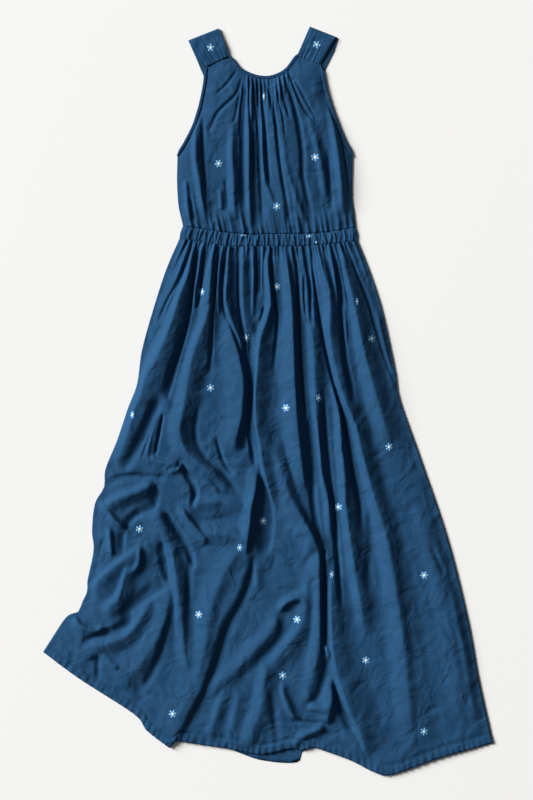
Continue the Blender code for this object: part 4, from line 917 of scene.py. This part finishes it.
# Embroidered flowers: small flowers in satin stitch, worked through the cloth in rayon thread, pale blue
# petals round a cream middle. Those on the straps have five petals and the others six.
FLOWER_RADIUS = 8.4 * MM
FLOWER_STEPS = 60
FLOWER_HEIGHT = 0.7 * MM
FLOWER_RINGS = (1, 0.97, 0.75, 0.5, 0.25)
MIDDLE_SIZE = 0.34
MIDDLE_HEIGHT = 1.8
SUNK_EDGE = 0.2 * MM

# A flower's place is in centimetres and its turn in degrees. It is narrower or lower on a slope.
Flower = namedtuple("Flower", "x y turn wide tall", defaults=(1.0, 1.0))
SKIRT_FLOWERS = [
    Flower(-13.2, 21.7, 10, 0.7), Flower(1.8, 22.7, 30), Flower(-4.2, 12.5, 50), Flower(17.8, 19.7, 0, 0.4),
    Flower(20.8, 12.3, 20), Flower(-27, -2.9, 15, 0.6), Flower(-11.4, 2.5, 35), Flower(3.6, -1.5, 5),
    Flower(10.2, 0.5, 25, 0.8), Flower(24.2, -9.3, 40), Flower(-1, -24.1, 10), Flower(-25.6, -25.7, 20),
    Flower(-5.6, -29.3, 0, 0.7), Flower(14, -21.3, 30), Flower(12.8, -34.7, 45, 0.6),
    Flower(31.2, -34.9, 5), Flower(-13.8, -42.7, 15), Flower(5.8, -43.7, 50), Flower(19.6, -51.9, 25),
    Flower(3, -54.9, 35), Flower(-19, -62.5, 10), Flower(31.2, -66.1, 20),
]
BODICE_FLOWERS = [
    Flower(-0.8, 60.7, 20, 0.6), Flower(-9.8, 47.3, 10), Flower(9.4, 48.5, 40), Flower(1.8, 38.7, 25),
]
BAND_FLOWERS = [
    Flower(-4.9, 33, 0, 0.8, 0.3), Flower(8.3, 32.8, 30, 0.9, 0.5), Flower(9.7, 31.6, 10, 0.4, 0.4),
]

petal_thread, tree, surface = new_material("rayon embroidery thread, pale blue", 0.55)
surface.inputs["Base Color"].default_value = linear("5f97c2")
middle_thread, tree, surface = new_material("rayon embroidery thread, cream", 0.55)
surface.inputs["Base Color"].default_value = linear("e4e4d6")


def surface_of(cloth_piece):
    """A function that gives the spot of a cloth piece below a plan point, or None beside the piece."""
    tree = BVHTree.FromObject(cloth_piece, bpy.context.evaluated_depsgraph_get())
    return lambda x, y: tree.ray_cast(Vector((x, y, 0.2)), Vector((0, 0, -1)))[0]


def flowers(name, cloth_piece, places, petals=6):
    """Flowers of satin stitch on a cloth piece, each a low lens of petals round a middle knot."""
    below = surface_of(cloth_piece)
    points, faces, kinds = [], [], []
    petal_part = (0, FLOWER_RADIUS, FLOWER_HEIGHT)
    middle_part = (1, FLOWER_RADIUS * MIDDLE_SIZE, FLOWER_HEIGHT * MIDDLE_HEIGHT)
    for place in places:
        for kind, radius, lift in (petal_part, middle_part):
            rings = []
            for share in FLOWER_RINGS:
                ring = []
                for step in range(FLOWER_STEPS):
                    angle = 2 * math.pi * step / FLOWER_STEPS
                    petal = 1 if kind else 0.32 + 0.68 * abs(math.cos(petals * angle / 2)) ** 0.65
                    out = radius * share * petal
                    bend = angle + math.radians(place.turn)
                    x = place.x * CM + place.wide * out * math.cos(bend)
                    y = place.y * CM + place.tall * out * math.sin(bend)
                    spot = below(x, y)
                    low = spot.z if spot else BACK_STACK
                    rise = -SUNK_EDGE if share == 1 else lift * math.sqrt(1 - share**2) * (0.6 + 0.4 * petal)
                    ring.append(len(points))
                    points.append((x, y, low + rise))
                rings.append(ring)
            for outer, inner in zip(rings[:-1], rings[1:]):
                for step in range(FLOWER_STEPS):
                    after = (step + 1) % FLOWER_STEPS
                    faces.append((outer[step], outer[after], inner[after], inner[step]))
                    kinds.append(kind)
            faces.append(tuple(rings[-1]))
            kinds.append(kind)
    mesh = bpy.data.meshes.new(name)
    mesh.from_pydata(points, [], faces)
    mesh.polygons.foreach_set("material_index", kinds)
    mesh.shade_smooth()
    mesh.materials.append(petal_thread)
    mesh.materials.append(middle_thread)
    made = placed(name, mesh)
    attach(made, "root")


flowers("skirt_flowers", skirt_front, SKIRT_FLOWERS)
flowers("bodice_flowers", bodice_front, BODICE_FLOWERS)
flowers("waistband_flowers", waistband_front, BAND_FLOWERS)
flowers("left_strap_flower", strap_left, [Flower(-11.4, 70.5, 90)], 5)
flowers("right_strap_flower", strap_right, [Flower(9.8, 71.1, 60)], 5)


# Stitching: rows of navy sewing thread in small running stitches, at the hem, the waistband's two edges, the
# seams of the straps and the inner edges of the bindings.
STITCH_LENGTH = 2.8 * MM
STITCH_STEP = 4.2 * MM
STITCH_WIDTH = 0.7 * MM
STITCH_THICK = 0.4 * MM
STITCH_ENDS_SUNK = 0.1 * MM
BAND_STITCH_INSET = 2.5 * MM
STRAP_STITCH_INSET = 2 * MM
BINDING_STITCH_INSET = 0.8 * MM
thread, tree, surface = new_material("polyester sewing thread, dark navy", 0.6)
surface.inputs["Base Color"].default_value = linear("12283f")


def stitches(name, rows):
    """Running stitches on cloth pieces. A row is a cloth piece and a line of plan points in metres."""
    points, faces = [], []
    up = Vector((0, 0, 1))
    for cloth_piece, line in rows:
        below = surface_of(cloth_piece)
        for start in np.arange(STITCH_STEP, distances(line)[-1] - STITCH_STEP, STITCH_STEP):
            at = (start, start + STITCH_LENGTH / 2, start + STITCH_LENGTH)
            first, middle, last = (below(x, y) for x, y in spots(line, at))
            if None in (first, middle, last):
                continue
            aside = (last - first).normalized().cross(up) * STITCH_WIDTH / 2
            base = len(points)
            points += [
                first - up * STITCH_ENDS_SUNK, middle + aside, last - up * STITCH_ENDS_SUNK, middle - aside,
                middle + up * STITCH_THICK, middle - up * STITCH_THICK,
            ]
            faces += [(base + one, base + (one + 1) % 4, base + 4) for one in range(4)]
            faces += [(base + (one + 1) % 4, base + one, base + 5) for one in range(4)]
    mesh = bpy.data.meshes.new(name)
    mesh.from_pydata([tuple(point) for point in points], [], faces)
    mesh.materials.append(thread)
    made = placed(name, mesh)
    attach(made, "root")


def raised(line, more):
    """A plan line in metres from spots in centimetres, moved up the dress."""
    return trail(line, 12) + np.array([0, more])


hem_row = np.array([
    skirt_plan[np.argmin(np.abs(from_hem[:, column] - HEM_DEPTH)), column]
    for column in range(0, SKIRT_COLUMNS + 1, 2)
])
stitches("hem_stitching", [(skirt_front, hem_row)])
stitches("waistband_stitching", [
    (waistband_front, raised(BAND_HIGH, -BAND_STITCH_INSET)),
    (waistband_front, raised(BAND_LOW, BAND_STITCH_INSET)),
])
stitches("strap_seam_stitching", [
    (bodice_front, raised([(-11.9, 66.2), (-9.8, 67.4), (-7.8, 68)], -STRAP_STITCH_INSET)),
    (bodice_front, raised([(6.2, 68.3), (8.4, 67.8), (10.2, 66.8)], -STRAP_STITCH_INSET)),
])
stitches("binding_stitching", [
    (neck, beside(NECK_EDGE, BINDING_STITCH_INSET)),
    (armhole_left, beside(ARMHOLE_LEFT, -BINDING_STITCH_INSET)),
    (armhole_right, beside(ARMHOLE_RIGHT, BINDING_STITCH_INSET)),
])
